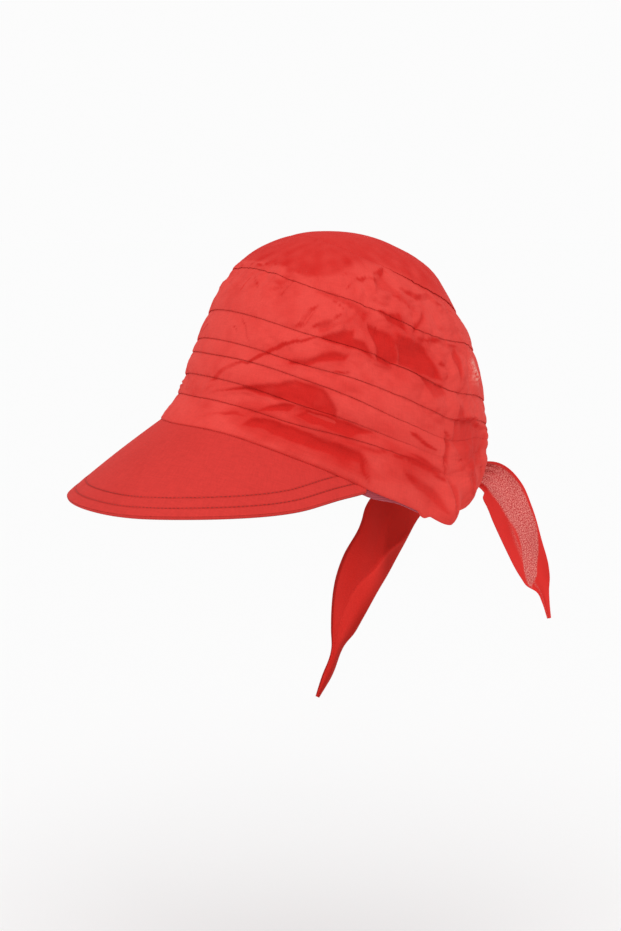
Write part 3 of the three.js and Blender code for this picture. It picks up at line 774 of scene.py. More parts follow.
def woven_cotton(name, open_colour, painted_shade_colour, slub=0.5):
    """Plain-weave cotton, dyed red and washed: matt, a little fuzzy against the light, with uneven threads
    both ways. It is paler where it lies open, and a deeper, purer red where the fold attribute paints shade
    in its folds, grooves and hollows."""
    material = bpy.data.materials.new(name)
    material.use_nodes = True
    tree = material.node_tree
    shader = tree.nodes["Principled BSDF"]
    place = add_node(tree, "ShaderNodeTexCoord")
    threads = []
    for scale in ((1 / DRAWN_THREAD, 0.16, 1), (0.16, 1 / DRAWN_THREAD, 1)):
        stretch = add_node(
            tree, "ShaderNodeMapping",
            inputs={"Scale": tuple(s / MM for s in scale)},
            links={"Vector": (place, "UV")},
        )
        threads.append(add_node(
            tree, "ShaderNodeTexNoise",
            inputs={"Scale": 1.0, "Detail": 2.0, "Roughness": 0.6},
            links={"Vector": (stretch, "Vector")},
        ))
    weave = add_node(
        tree, "ShaderNodeMath", {"operation": "ADD"},
        links={0: (threads[0], "Fac"), 1: (threads[1], "Fac")},
    )
    mottle = add_node(
        tree, "ShaderNodeTexNoise",
        inputs={"Scale": 26.0, "Detail": 4.0, "Roughness": 0.6},
        links={"Vector": (place, "Object")},
    )
    # Painted shade: the fold attribute, with a random mottle, mixes the open colour towards the deeper red.
    fold = add_node(tree, "ShaderNodeAttribute", {"attribute_name": "fold"})
    depth = add_node(
        tree, "ShaderNodeMapRange",
        inputs={"From Min": 0.35, "From Max": 0.7, "To Min": -0.1, "To Max": 0.14},
        links={"Value": (mottle, "Fac")},
    )
    deep = add_node(
        tree, "ShaderNodeMath", {"operation": "ADD", "use_clamp": True},
        links={0: (fold, "Fac"), 1: (depth, "Result")},
    )
    base_colour_mix = add_node(
        tree, "ShaderNodeMix", {"data_type": "RGBA"},
        links={"Factor": (deep, "Value")},
    )
    base_colour_mix.inputs[6].default_value = linear(open_colour)
    base_colour_mix.inputs[7].default_value = linear(painted_shade_colour)
    thread_tone = add_node(
        tree, "ShaderNodeMapRange",
        inputs={"From Min": 0.7, "From Max": 1.3, "To Min": 1 - 0.12 * slub, "To Max": 1 + 0.12 * slub},
        links={"Value": (weave, "Value")},
    )
    tone = add_node(
        tree, "ShaderNodeVectorMath", {"operation": "SCALE"},
        links={"Vector": (base_colour_mix, 2), "Scale": (thread_tone, "Result")},
    )
    worn = add_node(
        tree, "ShaderNodeMapRange",
        inputs={"From Min": 0.0, "From Max": -1.0},
        links={"Value": (fold, "Fac")},
    )
    thin_threads = add_node(
        tree, "ShaderNodeMapRange",
        inputs={"From Min": 0.85, "From Max": 1.15},
        links={"Value": (weave, "Value")},
    )
    see_through = add_node(
        tree, "ShaderNodeMath", {"operation": "MULTIPLY", "use_clamp": True},
        links={0: (worn, "Result"), 1: (thin_threads, "Result")},
    )
    seen = add_node(
        tree, "ShaderNodeMix", {"data_type": "RGBA"},
        links={"Factor": (see_through, "Value"), 6: (tone, "Vector")},
    )
    seen.inputs[7].default_value = linear("#f2b0a2")
    rumple = add_node(
        tree, "ShaderNodeTexNoise",
        inputs={"Scale": 150.0, "Detail": 3.0, "Roughness": 0.55, "Distortion": 0.6},
        links={"Vector": (place, "Object")},
    )
    soft_relief = add_node(
        tree, "ShaderNodeBump",
        inputs={"Strength": 0.5, "Distance": 0.5 * MM},
        links={"Height": (rumple, "Fac")},
    )
    relief = add_node(
        tree, "ShaderNodeBump",
        inputs={"Strength": 0.35, "Distance": 0.25 * MM},
        links={"Height": (weave, "Value"), "Normal": (soft_relief, "Normal")},
    )
    tree.links.new(seen.outputs[2], shader.inputs["Base Color"])
    tree.links.new(relief.outputs["Normal"], shader.inputs["Normal"])
    shader.inputs["Roughness"].default_value = 0.92
    shader.inputs["IOR"].default_value = 1.45
    shader.inputs["Specular IOR Level"].default_value = 0.15
    shader.inputs["Sheen Weight"].default_value = 0.03
    shader.inputs["Sheen Roughness"].default_value = 0.5
    shader.inputs["Sheen Tint"].default_value = linear("#ffb0a6")
    return material


# Its second colour is the deeper red of the painted shade in the crown's folds, grooves and hollows.
crown_cotton = woven_cotton("crown_plain_weave_cotton", "#e14740", "#cb241f")

COLUMNS = 660
BAND_ROWS = [17, 14, 12, 10, 16, 20]
LINING_ROWS = 8
HEM_ROLL = 0.35
FLAT_TUCK = 0.02
crown_angles = -180 + 360 * (np.arange(COLUMNS) + 0.5) / COLUMNS


def pleated_rows(angle):
    rows = Rows(angle)
    hem = 0.6 * TUCK_STEP
    zero = np.zeros_like(angle)
    rolled_hem = (
        (0, -CROWN_CLOTH + HEM_ROLL),
        (HEM_ROLL, -CROWN_CLOTH / 2),
        (HEM_ROLL, 0),
        (0, hem - HEM_ROLL),
    )
    # The rolled hem carries a fixed share of painted shade, the cloth tucked under the top seam the full
    # painted shade, and the inner face half of it.
    for drop, out in rolled_hem:
        points = crown_points(angle, zero, zero + out)
        points[..., 2] -= drop
        rows.add(points, zero, 0.4)
    lows = [zero] + [tuck_along(tuck, angle) for tuck in TUCKS]
    highs = lows[1:] + [tuck_along(TOP_SEAM, angle)]
    shares = [zero + 0.6] + [np.maximum(tuck_share(tuck, angle), FLAT_TUCK) for tuck in TUCKS]
    for i, (low, high, share) in enumerate(zip(lows, highs, shares)):
        if i > 0:
            rows.add_edge(low, share, line=i)
        rows.add_band(low, high, share, BAND_ROWS[i], line=i)
    under = highs[-1] + 1.2 / CROWN_RUN
    tucked_in = pucker(angle, len(TUCKS) + 1)
    rows.add(crown_points(angle, under, tucked_in - 0.25), under, 1.0)
    rows.add(crown_points(angle, under, tucked_in - 1.0), under, 1.0)
    for i in range(LINING_ROWS):
        along = highs[-1] * (1 - i / (LINING_ROWS - 1))
        rows.add(lining_points(angle, along), along, 0.5)
    return rows


pleated_crown = crown_mesh("pleated_crown_cloth", pleated_rows(crown_angles))
pleated_crown.data.materials.append(crown_cotton)
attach(pleated_crown, "root")
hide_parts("pleated_crown")


# Top panel.
# One piece of the same cotton over the top of the head. Its lower edge is folded and sewn over the top
# band, and a tuck towards the back takes up its slack.
TOP_LIP = 0.7
TOP_TUCK_STARTS = (96, 120)
TOP_BAND_ROWS = 26
TOP_ROWS = 22
TOP_LINING_ROWS = 12


def top_rows(angle):
    rows = Rows(angle)
    zero = np.zeros_like(angle)
    seam = tuck_along(TOP_SEAM, angle)
    tuck = tuck_along(TOP_TUCK, angle)
    lip = zero + TOP_LIP
    rows.add_edge(seam, lip, line=len(TUCKS) + 1)
    rows.add_band(seam, tuck, lip, TOP_BAND_ROWS, line=len(TUCKS) + 1)
    share = np.maximum(smooth(np.abs(angle), *TOP_TUCK_STARTS), FLAT_TUCK)
    rows.add_edge(tuck, share, line=len(TUCKS) + 2)
    for i in range(TOP_ROWS):
        up = (i + 0.6) / TOP_ROWS
        along = tuck + (1 - tuck) * up
        fade = smooth(1 - along, 0, 0.12)
        out = share * TUCK_STEP * (1 - up) ** 3 * fade
        points = crown_form(angle, along)
        move = cloth_offset(angle, along) * fade + out
        # Towards the middle, the top panel's red fades from the painted shade below into the even TOP_RED.
        red = TOP_RED + (shade_and_wear_share(angle, along) - TOP_RED) * fade
        rows.add(points + crown_normal(angle, along) * move[..., None], along, red)
    middle = np.zeros((len(angle), 3)) + (0, 0, CROWN_HEIGHT)
    rows.add(middle, zero + 1, TOP_RED)
    # The inner face carries half the painted shade.
    rows.add(middle - (0, 0, CROWN_CLOTH), zero + 1, 0.5)
    for i in range(1, TOP_LINING_ROWS):
        along = 1 - (1 - seam - 3 / CROWN_RUN) * i / (TOP_LINING_ROWS - 1)
        rows.add(lining_points(angle, along), along, 0.5)
    return rows


crown_top = crown_mesh("crown_top_cloth", top_rows(crown_angles))
crown_top.data.materials.append(crown_cotton)
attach(crown_top, "root")
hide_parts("crown_top")


# Visor.
# A stiff curved board covered in the same cotton, drawn smooth on both faces and turned in round the
# edge. It is sewn under the crown's front rim and reaches back to the ears.
VISOR_LENGTH = 75
VISOR_SLOPE = 38
VISOR_REACH = 79
VISOR_THICKNESS = 2.4
VISOR_CAMBER = 0.8
VISOR = table("round width", [
    (0.0, 1.0), (0.25, 0.97), (0.5, 0.79), (0.7, 0.54), (0.88, 0.22), (1.0, 0.02),
])
STITCH_ROWS = (7.0, 15.0)
STITCH_GROOVE = 0.3
VISOR_COLUMNS = 260
VISOR_ROWS = 70
visor_width = curve_of(VISOR["round"], VISOR["width"], level_start=True)
slope = math.radians(VISOR_SLOPE)


def visor_frame(angle):
    """Where the visor starts under the rim, its way down, its way out of the upper face, and its length."""
    a = np.radians(angle)
    away = unit(np.stack([np.sin(a) / RIM_HALF_WIDTH, -np.cos(a) / RIM_HALF_LENGTH, 0 * a], axis=-1))
    down = away * math.cos(slope) - np.array([0, 0, math.sin(slope)])
    square = away * math.sin(slope) + np.array([0, 0, math.cos(slope)])
    start = crown_form(angle, np.zeros_like(angle))
    start = start + away * (VISOR_THICKNESS * math.sin(slope) + SEWN_GAP - CROWN_CLOTH)
    start[..., 2] -= SEWN_GAP
    return start, down, square, VISOR_LENGTH * visor_width(np.abs(angle) / VISOR_REACH)


def visor_point(angle, share, depth):
    """Points at a share of the way from rim to edge, and a depth below the upper face."""
    start, down, square, length = visor_frame(angle)
    camber = VISOR_CAMBER * np.sin(np.pi * share) * length / VISOR_LENGTH
    return start + down * (share * length)[..., None] + square * (camber - depth)[..., None]


edge_angles = VISOR_REACH * np.sin(np.linspace(-np.pi / 2, np.pi / 2, 600))
edge_line = visor_point(edge_angles, np.ones_like(edge_angles), np.zeros_like(edge_angles))


def from_edge(points):
    """How far points of the visor are from its edge."""
    nearest = np.full(points.shape[:-1], np.inf)
    for corner in edge_line:
        nearest = np.minimum(nearest, np.linalg.norm(points - corner, axis=-1))
    return nearest


def visor_face(angle, share, depth, way):
    """One face of the visor, pulled in by its sewing. way is 1 for the upper face and -1 for the lower."""
    points = visor_point(angle, share, depth)
    far = from_edge(points)
    pulled = sum(np.exp(-(((far - row) / 0.6) ** 2)) for row in STITCH_ROWS)
    puffed = 0.12 * np.sin(np.pi * np.clip(far / STITCH_ROWS[1], 0, 1) * 2) ** 2
    square = visor_frame(angle)[2]
    return points + square * (way * (puffed - STITCH_GROOVE * pulled))[..., None], pulled


def visor_grid():
    angle = VISOR_REACH * np.sin(np.linspace(-np.pi / 2, np.pi / 2, VISOR_COLUMNS))
    loops, cloth, folds = [], [], []
    roll = np.linspace(-80, 80, 9)
    shares = 1 - (1 - np.linspace(0, 1, VISOR_ROWS)) ** 1.25
    half = VISOR_THICKNESS / 2
    length = visor_frame(angle)[3]
    # The fold values are painted shade: in the stitch grooves on the upper face, none on the turned edge, and
    # half over the underside with more in its grooves.
    for share in shares[:-1]:
        points, pulled = visor_face(angle, np.full_like(angle, share), np.zeros_like(angle), 1)
        loops.append(points)
        folds.append(0.8 * pulled)
        cloth.append(share * length)
    for tilt in np.radians(roll):
        beyond = half * (math.cos(tilt) - 1) * 0.6 / np.maximum(length, 2 * half)
        depth = np.full_like(angle, half + half * math.sin(tilt))
        loops.append(visor_point(angle, 1 + beyond, depth))
        folds.append(np.zeros_like(angle))
        cloth.append(length * (1 + beyond))
    for share in shares[-2::-1]:
        depth = np.full_like(angle, VISOR_THICKNESS)
        points, pulled = visor_face(angle, np.full_like(angle, share), depth, -1)
        loops.append(points)
        folds.append(0.5 + 0.5 * pulled)
        cloth.append(share * length)
    grid = np.stack(loops, axis=1)
    run = np.stack(cloth, axis=1)
    round_ = np.radians(angle)[:, None] * RIM_HALF_LENGTH * np.ones_like(run)
    return grid, np.stack([round_, run], axis=-1), np.stack(folds, axis=1)


# The visor's open colour is darker than the crown's, a painted shade of the same cotton; its second colour
# paints the shade in the stitch grooves and underneath.
visor_cotton = woven_cotton("visor_board_covered_in_cotton", "#cf3833", "#b2251f", slub=0.6)
visor_points, visor_uv, visor_shade = visor_grid()
visor = grid_mesh("visor_cloth", visor_points, False, visor_uv, visor_shade)
visor.data.materials.append(visor_cotton)
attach(visor, "root")
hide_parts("visor")


# Visor stitching.
# Two rows of lockstitch in red thread run round the visor, 7 mm and 15 mm in from its edge. Each stitch
# bridges a short way over the cloth and dips into it at both ends.
STITCH_PITCH = 2.5
STITCH_LENGTH = 2.2
THREAD_RADIUS = 0.2


def row_line(far, way):
    """The line at a distance in from the edge, on the upper face (way 1) or the lower (way -1)."""
    angle = VISOR_REACH * np.sin(np.linspace(-np.pi / 2, np.pi / 2, 500))
    shares = np.linspace(0, 1, 160)
    depth = np.full_like(angle, 0 if way > 0 else VISOR_THICKNESS)
    grid = np.stack([visor_point(angle, np.full_like(angle, s), depth) for s in shares], axis=1)
    inside = from_edge(grid) > far
    reached = inside[:, 2:].any(axis=1)
    last = np.where(reached, inside.shape[1] - 1 - np.argmax(inside[:, ::-1], axis=1), 0)
    keep = np.flatnonzero(reached)
    outward = visor_frame(angle)[2] * way
    return grid[keep, last[keep]], outward[keep]


def stitch_mesh(name, lines):
    """Capsule-shaped stitches along each line of points."""
    sides, rings = 6, 5
    verts, faces = [], []
    for line, outward in lines:
        line = np.array([line[max(i - 6, 0):i + 7].mean(axis=0) for i in range(len(line))])
        far = np.concatenate([[0], np.cumsum(np.linalg.norm(np.diff(line, axis=0), axis=1))])
        for middle in np.arange(STITCH_PITCH, far[-1] - STITCH_PITCH, STITCH_PITCH):
            places = [middle + d for d in (-0.5, 0, 0.5)]
            at = np.array([[np.interp(place, far, line[:, k]) for k in range(3)] for place in places])
            out = unit(np.array([np.interp(middle, far, outward[:, k]) for k in range(3)]))
            ahead = unit(at[2] - at[0])
            beside = np.cross(ahead, out)
            first = len(verts)
            for i in range(rings):
                t = 2 * i / (rings - 1) - 1
                radius = THREAD_RADIUS * math.sqrt(max(1 - 0.8 * t * t, 0.02))
                lifted = THREAD_RADIUS * (0.7 - 1.5 * t * t) - 0.2
                centre = at[1] + ahead * t * STITCH_LENGTH / 2 + out * lifted
                for k in range(sides):
                    turned = 2 * math.pi * k / sides
                    verts.append(centre + radius * (math.cos(turned) * out + math.sin(turned) * beside))
            for i in range(rings - 1):
                for k in range(sides):
                    a, b = first + i * sides + k, first + i * sides + (k + 1) % sides
                    faces.append([a, b, b + sides, a + sides])
            faces.append([first + k for k in reversed(range(sides))])
            faces.append([first + (rings - 1) * sides + k for k in range(sides)])
    mesh = bpy.data.meshes.new(name)
    mesh.from_pydata((np.array(verts) * MM).tolist(), [], faces)
    mesh.shade_smooth()
    piece = bpy.data.objects.new(name, mesh)
    bpy.context.scene.collection.objects.link(piece)
    return piece


def sewing_thread(name, colour):
    """Spun polyester thread, pulled tight: darker than the cloth, with a soft glint along it."""
    material = bpy.data.materials.new(name)
    material.use_nodes = True
    tree = material.node_tree
    shader = tree.nodes["Principled BSDF"]
    place = add_node(tree, "ShaderNodeTexCoord")
    twist = add_node(
        tree, "ShaderNodeTexWave", {"bands_direction": "DIAGONAL"},
        inputs={"Scale": 900.0, "Distortion": 1.0},
        links={"Vector": (place, "Object")},
    )
    relief = add_node(
        tree, "ShaderNodeBump",
        inputs={"Strength": 0.4, "Distance": 0.05 * MM},
        links={"Height": (twist, "Fac")},
    )
    tree.links.new(relief.outputs["Normal"], shader.inputs["Normal"])
    shader.inputs["Base Color"].default_value = linear(colour)
    shader.inputs["Roughness"].default_value = 0.6
    shader.inputs["IOR"].default_value = 1.5
    return material


stitching = stitch_mesh("visor_stitching", [row_line(far, way) for far in STITCH_ROWS for way in (1, -1)])
stitching.data.materials.append(sewing_thread("polyester_sewing_thread", "#94201a"))
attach(stitching, "root")


# Sweatband.
# Soft ribbed tape in a darker, cooler red, sewn flat inside the rim. It stands a little below the crown's
# hem at the front and sides, so a narrow strip of it shows behind the visor's end.
BAND_HEIGHT = 24
BAND_DROP = 2.4
BAND_COLUMNS = 420
BAND_FACE_ROWS = 14


def band_face(angle, out):
    """The rows of one face of the tape, from its lower edge up."""
    share = BAND_HEIGHT / CROWN_RUN
    rows = []
    for i in range(BAND_FACE_ROWS):
        along = np.full_like(angle, share * max(i - 1, 0) / (BAND_FACE_ROWS - 2))
        points = crown_form(angle, along) + crown_normal(angle, along) * out
        if i == 0:
            low_at_visor_end = 0.9 * swell(np.abs(angle), 66, 92)
            points[..., 2] -= BAND_DROP * (1 + low_at_visor_end - 0.65 * smooth(np.abs(angle), 78, 96))
        rows.append(points)
    return rows


band_angles = -180 + 360 * np.arange(BAND_COLUMNS) / BAND_COLUMNS
wall_to_band = CROWN_CLOTH + SEWN_GAP
outer = band_face(band_angles, -wall_to_band)
inner = band_face(band_angles, -wall_to_band - BAND_CLOTH)
bottom = (outer[0] + inner[0]) / 2 - np.array([0, 0, 0.25])
top = (outer[-1] + inner[-1]) / 2 + np.array([0, 0, 0.25])
band_grid = np.stack([bottom, *inner, top, *outer[::-1]], axis=1)
band_round = np.radians(band_angles)[:, None] * RIM_HALF_LENGTH * np.ones(band_grid.shape[1])
band_uv = np.stack([band_round, band_grid[..., 2]], axis=-1)
sweatband = grid_mesh("sweatband_tape", band_grid, True, band_uv, np.full(band_grid.shape[:2], 0.3))


def ribbed_tape(name, colour, rib_colour):
    """Woven tape with a rib every 1.2 mm, brushed soft: a dull mauve bloom over dark red."""
    material = bpy.data.materials.new(name)
    material.use_nodes = True
    tree = material.node_tree
    shader = tree.nodes["Principled BSDF"]
    place = add_node(tree, "ShaderNodeTexCoord")
    stretch = add_node(
        tree, "ShaderNodeMapping",
        inputs={"Scale": (0.1 / MM, 1 / (1.2 * MM), 1.0)},
        links={"Vector": (place, "UV")},
    )
    rib = add_node(
        tree, "ShaderNodeTexWave", {"bands_direction": "Y"},
        inputs={"Scale": 0.31, "Distortion": 0.6, "Detail": 1.0},
        links={"Vector": (stretch, "Vector")},
    )
    base_colour_mix = add_node(tree, "ShaderNodeMix", {"data_type": "RGBA"}, links={"Factor": (rib, "Fac")})
    base_colour_mix.inputs[6].default_value = linear(colour)
    base_colour_mix.inputs[7].default_value = linear(rib_colour)
    relief = add_node(
        tree, "ShaderNodeBump",
        inputs={"Strength": 0.5, "Distance": 0.2 * MM},
        links={"Height": (rib, "Fac")},
    )
    tree.links.new(base_colour_mix.outputs[2], shader.inputs["Base Color"])
    tree.links.new(relief.outputs["Normal"], shader.inputs["Normal"])
    shader.inputs["Roughness"].default_value = 0.8
    shader.inputs["IOR"].default_value = 1.5
    shader.inputs["Sheen Weight"].default_value = 0.4
    shader.inputs["Sheen Tint"].default_value = linear("#d8a8c8")
    return material


sweatband.data.materials.append(ribbed_tape("brushed_ribbed_tape", "#9a2c38", "#b0424c"))
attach(sweatband, "root")
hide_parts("sweatband")


# Knot.
# The two tie ends are knotted once outside the hem at the nape. Folded cotton winds round the knot in
# slanting wraps that pull tight towards the middle.
WRAPS = 1.5
KNOT_COLUMNS = 128
KNOT_ROWS = 84
knot_low, knot_high = (np.array(corner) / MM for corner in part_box("knot"))
knot_centre = (knot_low + knot_high) / 2
knot_half = (knot_high - knot_low) / 2


def knot_grid():
    """Closed loops round the knot's left-to-right line, pinched to a point at each end, with painted shade in
    the hollows between the wraps.
    """
    across = np.cos(np.linspace(0.04, np.pi - 0.04, KNOT_COLUMNS))[:, None]
    turned = np.linspace(0, 2 * np.pi, KNOT_ROWS, endpoint=False)[None, :]
    ring = np.sqrt(1 - across**2)
    wound = WRAPS * np.pi * (across + 0.35 * np.sin(turned) + 0.15 * np.sin(2 * turned + 1))
    wrap = np.abs(np.sin(wound + 0.5)) ** 0.6
    fine = np.sin(9 * across + 3 * np.sin(turned) + 0.7) * (1 - 0.5 * np.cos(turned + 2 * across))
    size = ring**0.8 * (0.8 + 0.2 * wrap + 0.025 * fine)
    x = knot_half[0] * across * np.ones_like(turned)
    y = knot_half[1] * size * np.cos(turned)
    z = knot_half[2] * size * np.sin(turned)
    fold = np.clip(1 - wrap * 1.3, 0, 1)
    return knot_centre + np.stack([x, y, z], axis=-1), fold


knot_points, knot_shade = knot_grid()
knot_uv = np.stack([knot_points[..., 0], knot_points[..., 2]], axis=-1)
knot = grid_mesh("knot_cloth", knot_points, False, knot_uv, knot_shade)
knot.data.materials.append(crown_cotton)
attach(knot, "root")
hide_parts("knot")


# Ties.
# Two strips of thin cotton hang from the knot. Each has a hem turned in along both edges, so it is
# opaque there and lets a little light through its single layer in between. Their tips fold into a twist.
# A tie's left and right are as seen from its face.
# On the far tie the hem colour also paints shade over its upper part and over its side beyond the crest.
TIE_THICKNESS = 0.7
TIE_CLOTH = 1.2
TIE_FACE = np.array([0.86, -0.5, 0.14])
TIE_SECTIONS = 190
TIE_ACROSS = 44
Tie = namedtuple("Tie", "name length width root route sections hems crest shade")
knot_width, knot_depth, _ = knot_high - knot_low
ROUTE_COLUMNS = "left back up"
SECTION_COLUMNS = "along left right cup turn"
HEM_AND_SHADE_COLUMNS = "along right left"
NEAR_TIE = Tie(
    "near_tie", 110, 25,
    knot_centre + (knot_width / 2, knot_depth / 8, TIE_CLOTH),
    table(ROUTE_COLUMNS, [
        (0.0, 0.0, 0.0), (0.033, 0.08, -0.035), (0.061, 0.152, -0.13), (0.084, 0.197, -0.25),
        (0.121, 0.29, -0.511), (0.15, 0.37, -0.72), (0.173, 0.415, -0.92),
    ]),
    table(SECTION_COLUMNS, [
        (0.0, 0.66, 0.62, 0.2, 0), (0.1, 1.04, 0.86, 0.2, 0), (0.3, 1.15, 1.0, 0.18, 0),
        (0.52, 1.02, 0.88, 0.16, 0), (0.7, 0.84, 0.72, 0.14, 0), (0.77, 0.68, 0.56, 0.12, 3),
        (0.83, 0.3, 0.36, 0.1, 6), (0.9, 0.17, 0.22, 0.05, 12), (1.0, 0.1, 0.1, 0.0, 16),
    ]),
    table(HEM_AND_SHADE_COLUMNS, [
        (0.0, -0.75, 0.6), (0.16, -0.8, 0.5), (0.33, -0.84, 0.3), (0.46, -0.86, 0.12),
        (0.58, -0.62, 0.27), (0.68, -0.18, 0.6), (0.74, 0.16, 0.74), (0.79, 0.85, 0.85), (1.0, 0.9, 0.9),
    ]),
    [(0.0, 0.25), (1.0, 0.45)],
    0,
)
FAR_TIE = Tie(
    "far_tie", 192, 29,
    knot_centre + (-(knot_width + TIE_CLOTH) / 2, 0, -TIE_CLOTH),
    table(ROUTE_COLUMNS, [
        (0.0, 0.0, 0.0), (-0.05, -0.002, -0.03), (-0.13, -0.034, -0.07), (-0.2, -0.078, -0.12),
        (-0.245, -0.137, -0.225), (-0.277, -0.19, -0.335), (-0.314, -0.262, -0.565),
        (-0.325, -0.29, -0.68), (-0.33, -0.34, -0.783),
    ]),
    table(SECTION_COLUMNS, [
        (0.0, 0.4, 0.4, -0.1, 0), (0.12, 0.56, 0.56, -0.12, 0), (0.26, 1.22, 0.95, -0.14, 0),
        (0.34, 1.28, 1.06, -0.14, 0), (0.42, 1.02, 1.14, -0.14, 0), (0.52, 1.03, 1.16, -0.14, 0),
        (0.6, 0.94, 1.04, -0.14, 0), (0.7, 0.66, 0.82, -0.13, -2), (0.76, 0.44, 0.64, -0.12, -4),
        (0.81, 0.24, 0.36, -0.08, -8), (0.93, 0.22, 0.22, -0.04, -12), (1.0, 0.1, 0.1, 0.0, -16),
    ]),
    # Here the right hem reaches in over the shaded side beyond the crest: its dark hem colour there is
    # painted shade.
    table(HEM_AND_SHADE_COLUMNS, [
        (0.0, 0.9, 0.8), (0.34, 0.6, 0.8), (0.5, -0.3, 0.82), (0.85, 0.1, 0.7), (1.0, 0.5, 0.5),
    ]),
    [
        (0.0, -1.1), (0.34, -1.0), (0.43, -0.6), (0.51, -0.42),
        (0.6, -0.05), (0.7, 0.14), (0.85, 0.3), (1.0, 0.3),
    ],
    1,
)


def route_of(tie):
    """The tie's middle line as points in millimetres, evenly spaced, with its tangents."""
    corners = np.stack([tie.route[key] for key in ROUTE_COLUMNS.split()], axis=-1)
    spacing = np.concatenate([[0], np.cumsum(np.linalg.norm(np.diff(corners, axis=0), axis=1))])
    fine = np.linspace(0, spacing[-1], 1500)
    line = np.stack([curve_of(spacing, corners[:, k])(fine) for k in range(3)], axis=-1)
    far = np.concatenate([[0], np.cumsum(np.linalg.norm(np.diff(line, axis=0), axis=1))])
    line = line * tie.length / far[-1]
    even = np.linspace(0, far[-1], TIE_SECTIONS)
    middle = np.stack([np.interp(even, far, line[:, k]) for k in range(3)], axis=-1)
    return tie.root + middle, unit(np.gradient(middle, axis=0))


def tie_folds(tie, along, side, half):
    """How far folds move the cloth out at each place: soft lengthwise ones that tighten to the tip."""
    tight = smooth(along, 0.66, 0.9)
    way = 1 if tie is NEAR_TIE else -1
    crest = curve_of(*np.array(tie.crest).T)(along)
    ridge = 0.14 * np.exp(-np.abs(side - crest) / 0.45)
    pleat = 0.14 * tight * np.cos(1.3 * np.pi * (side + 0.3 * along))
    waver = 0.035 * np.sin(7 * along + 3 * side) + 0.02 * np.sin(19 * along - 5 * side * way)
    start = 0.1 * (1 - smooth(along, 0.0, 0.16)) * np.cos(4 * np.pi * side)
    return half * 2 * (ridge * (1 - tight) + pleat + waver + start)


def tie_mesh(tie):
    """A closed thin strip: its face, one rounded edge, its back, and the other edge."""
    middle, tangent = route_of(tie)
    along = np.linspace(0, 1, TIE_SECTIONS)
    stations = tie.sections["along"]
    columns = {key: curve_of(stations, tie.sections[key])(along) for key in SECTION_COLUMNS.split()[1:]}
    across = unit(np.cross(tangent, TIE_FACE))
    turned = np.radians(columns["turn"])[:, None]
    across = across * np.cos(turned) + np.cross(tangent, across) * np.sin(turned)
    out = unit(np.cross(across, tangent))
    left_half, right_half = (tie.width * columns[key] / 2 for key in ("left", "right"))
    half = (left_half + right_half) / 2
    side = np.linspace(-1, 1, TIE_ACROSS)
    grid_side, grid_along = side[None, :], along[:, None]
    beside = np.where(grid_side > 0, grid_side * left_half[:, None], grid_side * right_half[:, None])
    cup = (columns["cup"] * 2 * half)[:, None] * grid_side**2
    lift = cup + tie_folds(tie, grid_along, grid_side, half[:, None])
    right, left = (curve_of(tie.hems["along"], tie.hems[key])(along)[:, None] for key in ("right", "left"))
    soft = 0.08 + 0.6 * tie.shade
    turned_in = np.maximum(smooth(grid_side, left, left + 0.08), smooth(-grid_side, -right, soft - right))
    rounded = np.sqrt(np.clip(1 - np.abs(grid_side) ** 24, 0.04, 1))
    thick = TIE_THICKNESS * (0.5 + 0.5 * turned_in) * rounded * np.ones_like(lift)
    place = middle[:, None] + across[:, None] * beside[..., None]
    face = place + out[:, None] * (lift - TIE_CLOTH / 2 + thick / 2)[..., None]
    back = place + out[:, None] * (lift - TIE_CLOTH / 2 - thick / 2)[..., None]
    grid = np.concatenate([face, back[:, ::-1]], axis=1)
    flat_run = (along * tie.length)[:, None] * np.ones_like(beside)
    uv = np.stack([beside, flat_run], axis=-1)
    uv = np.concatenate([uv, uv[:, ::-1]], axis=1)
    crest = curve_of(*np.array(tie.crest).T)(grid_along)
    # A painted highlight: a pale line along the crest where the fold catches the light.
    painted_crest_highlight = 0.45 * np.exp(-(((grid_side - crest) / 0.09) ** 2)) * smooth(grid_along, 0.3, 0.5)
    # Painted shade down the far tie's upper part, under the cap.
    shaded = tie.shade * (1 - smooth(grid_along, 0.28, 0.6))
    hem_shade_and_highlight = np.clip(np.maximum(turned_in, shaded) - painted_crest_highlight, 0, 1) * np.ones_like(lift)
    return grid_mesh(tie.name + "_cloth", grid, False, uv, np.concatenate([hem_shade_and_highlight, hem_shade_and_highlight[:, ::-1]], axis=1))


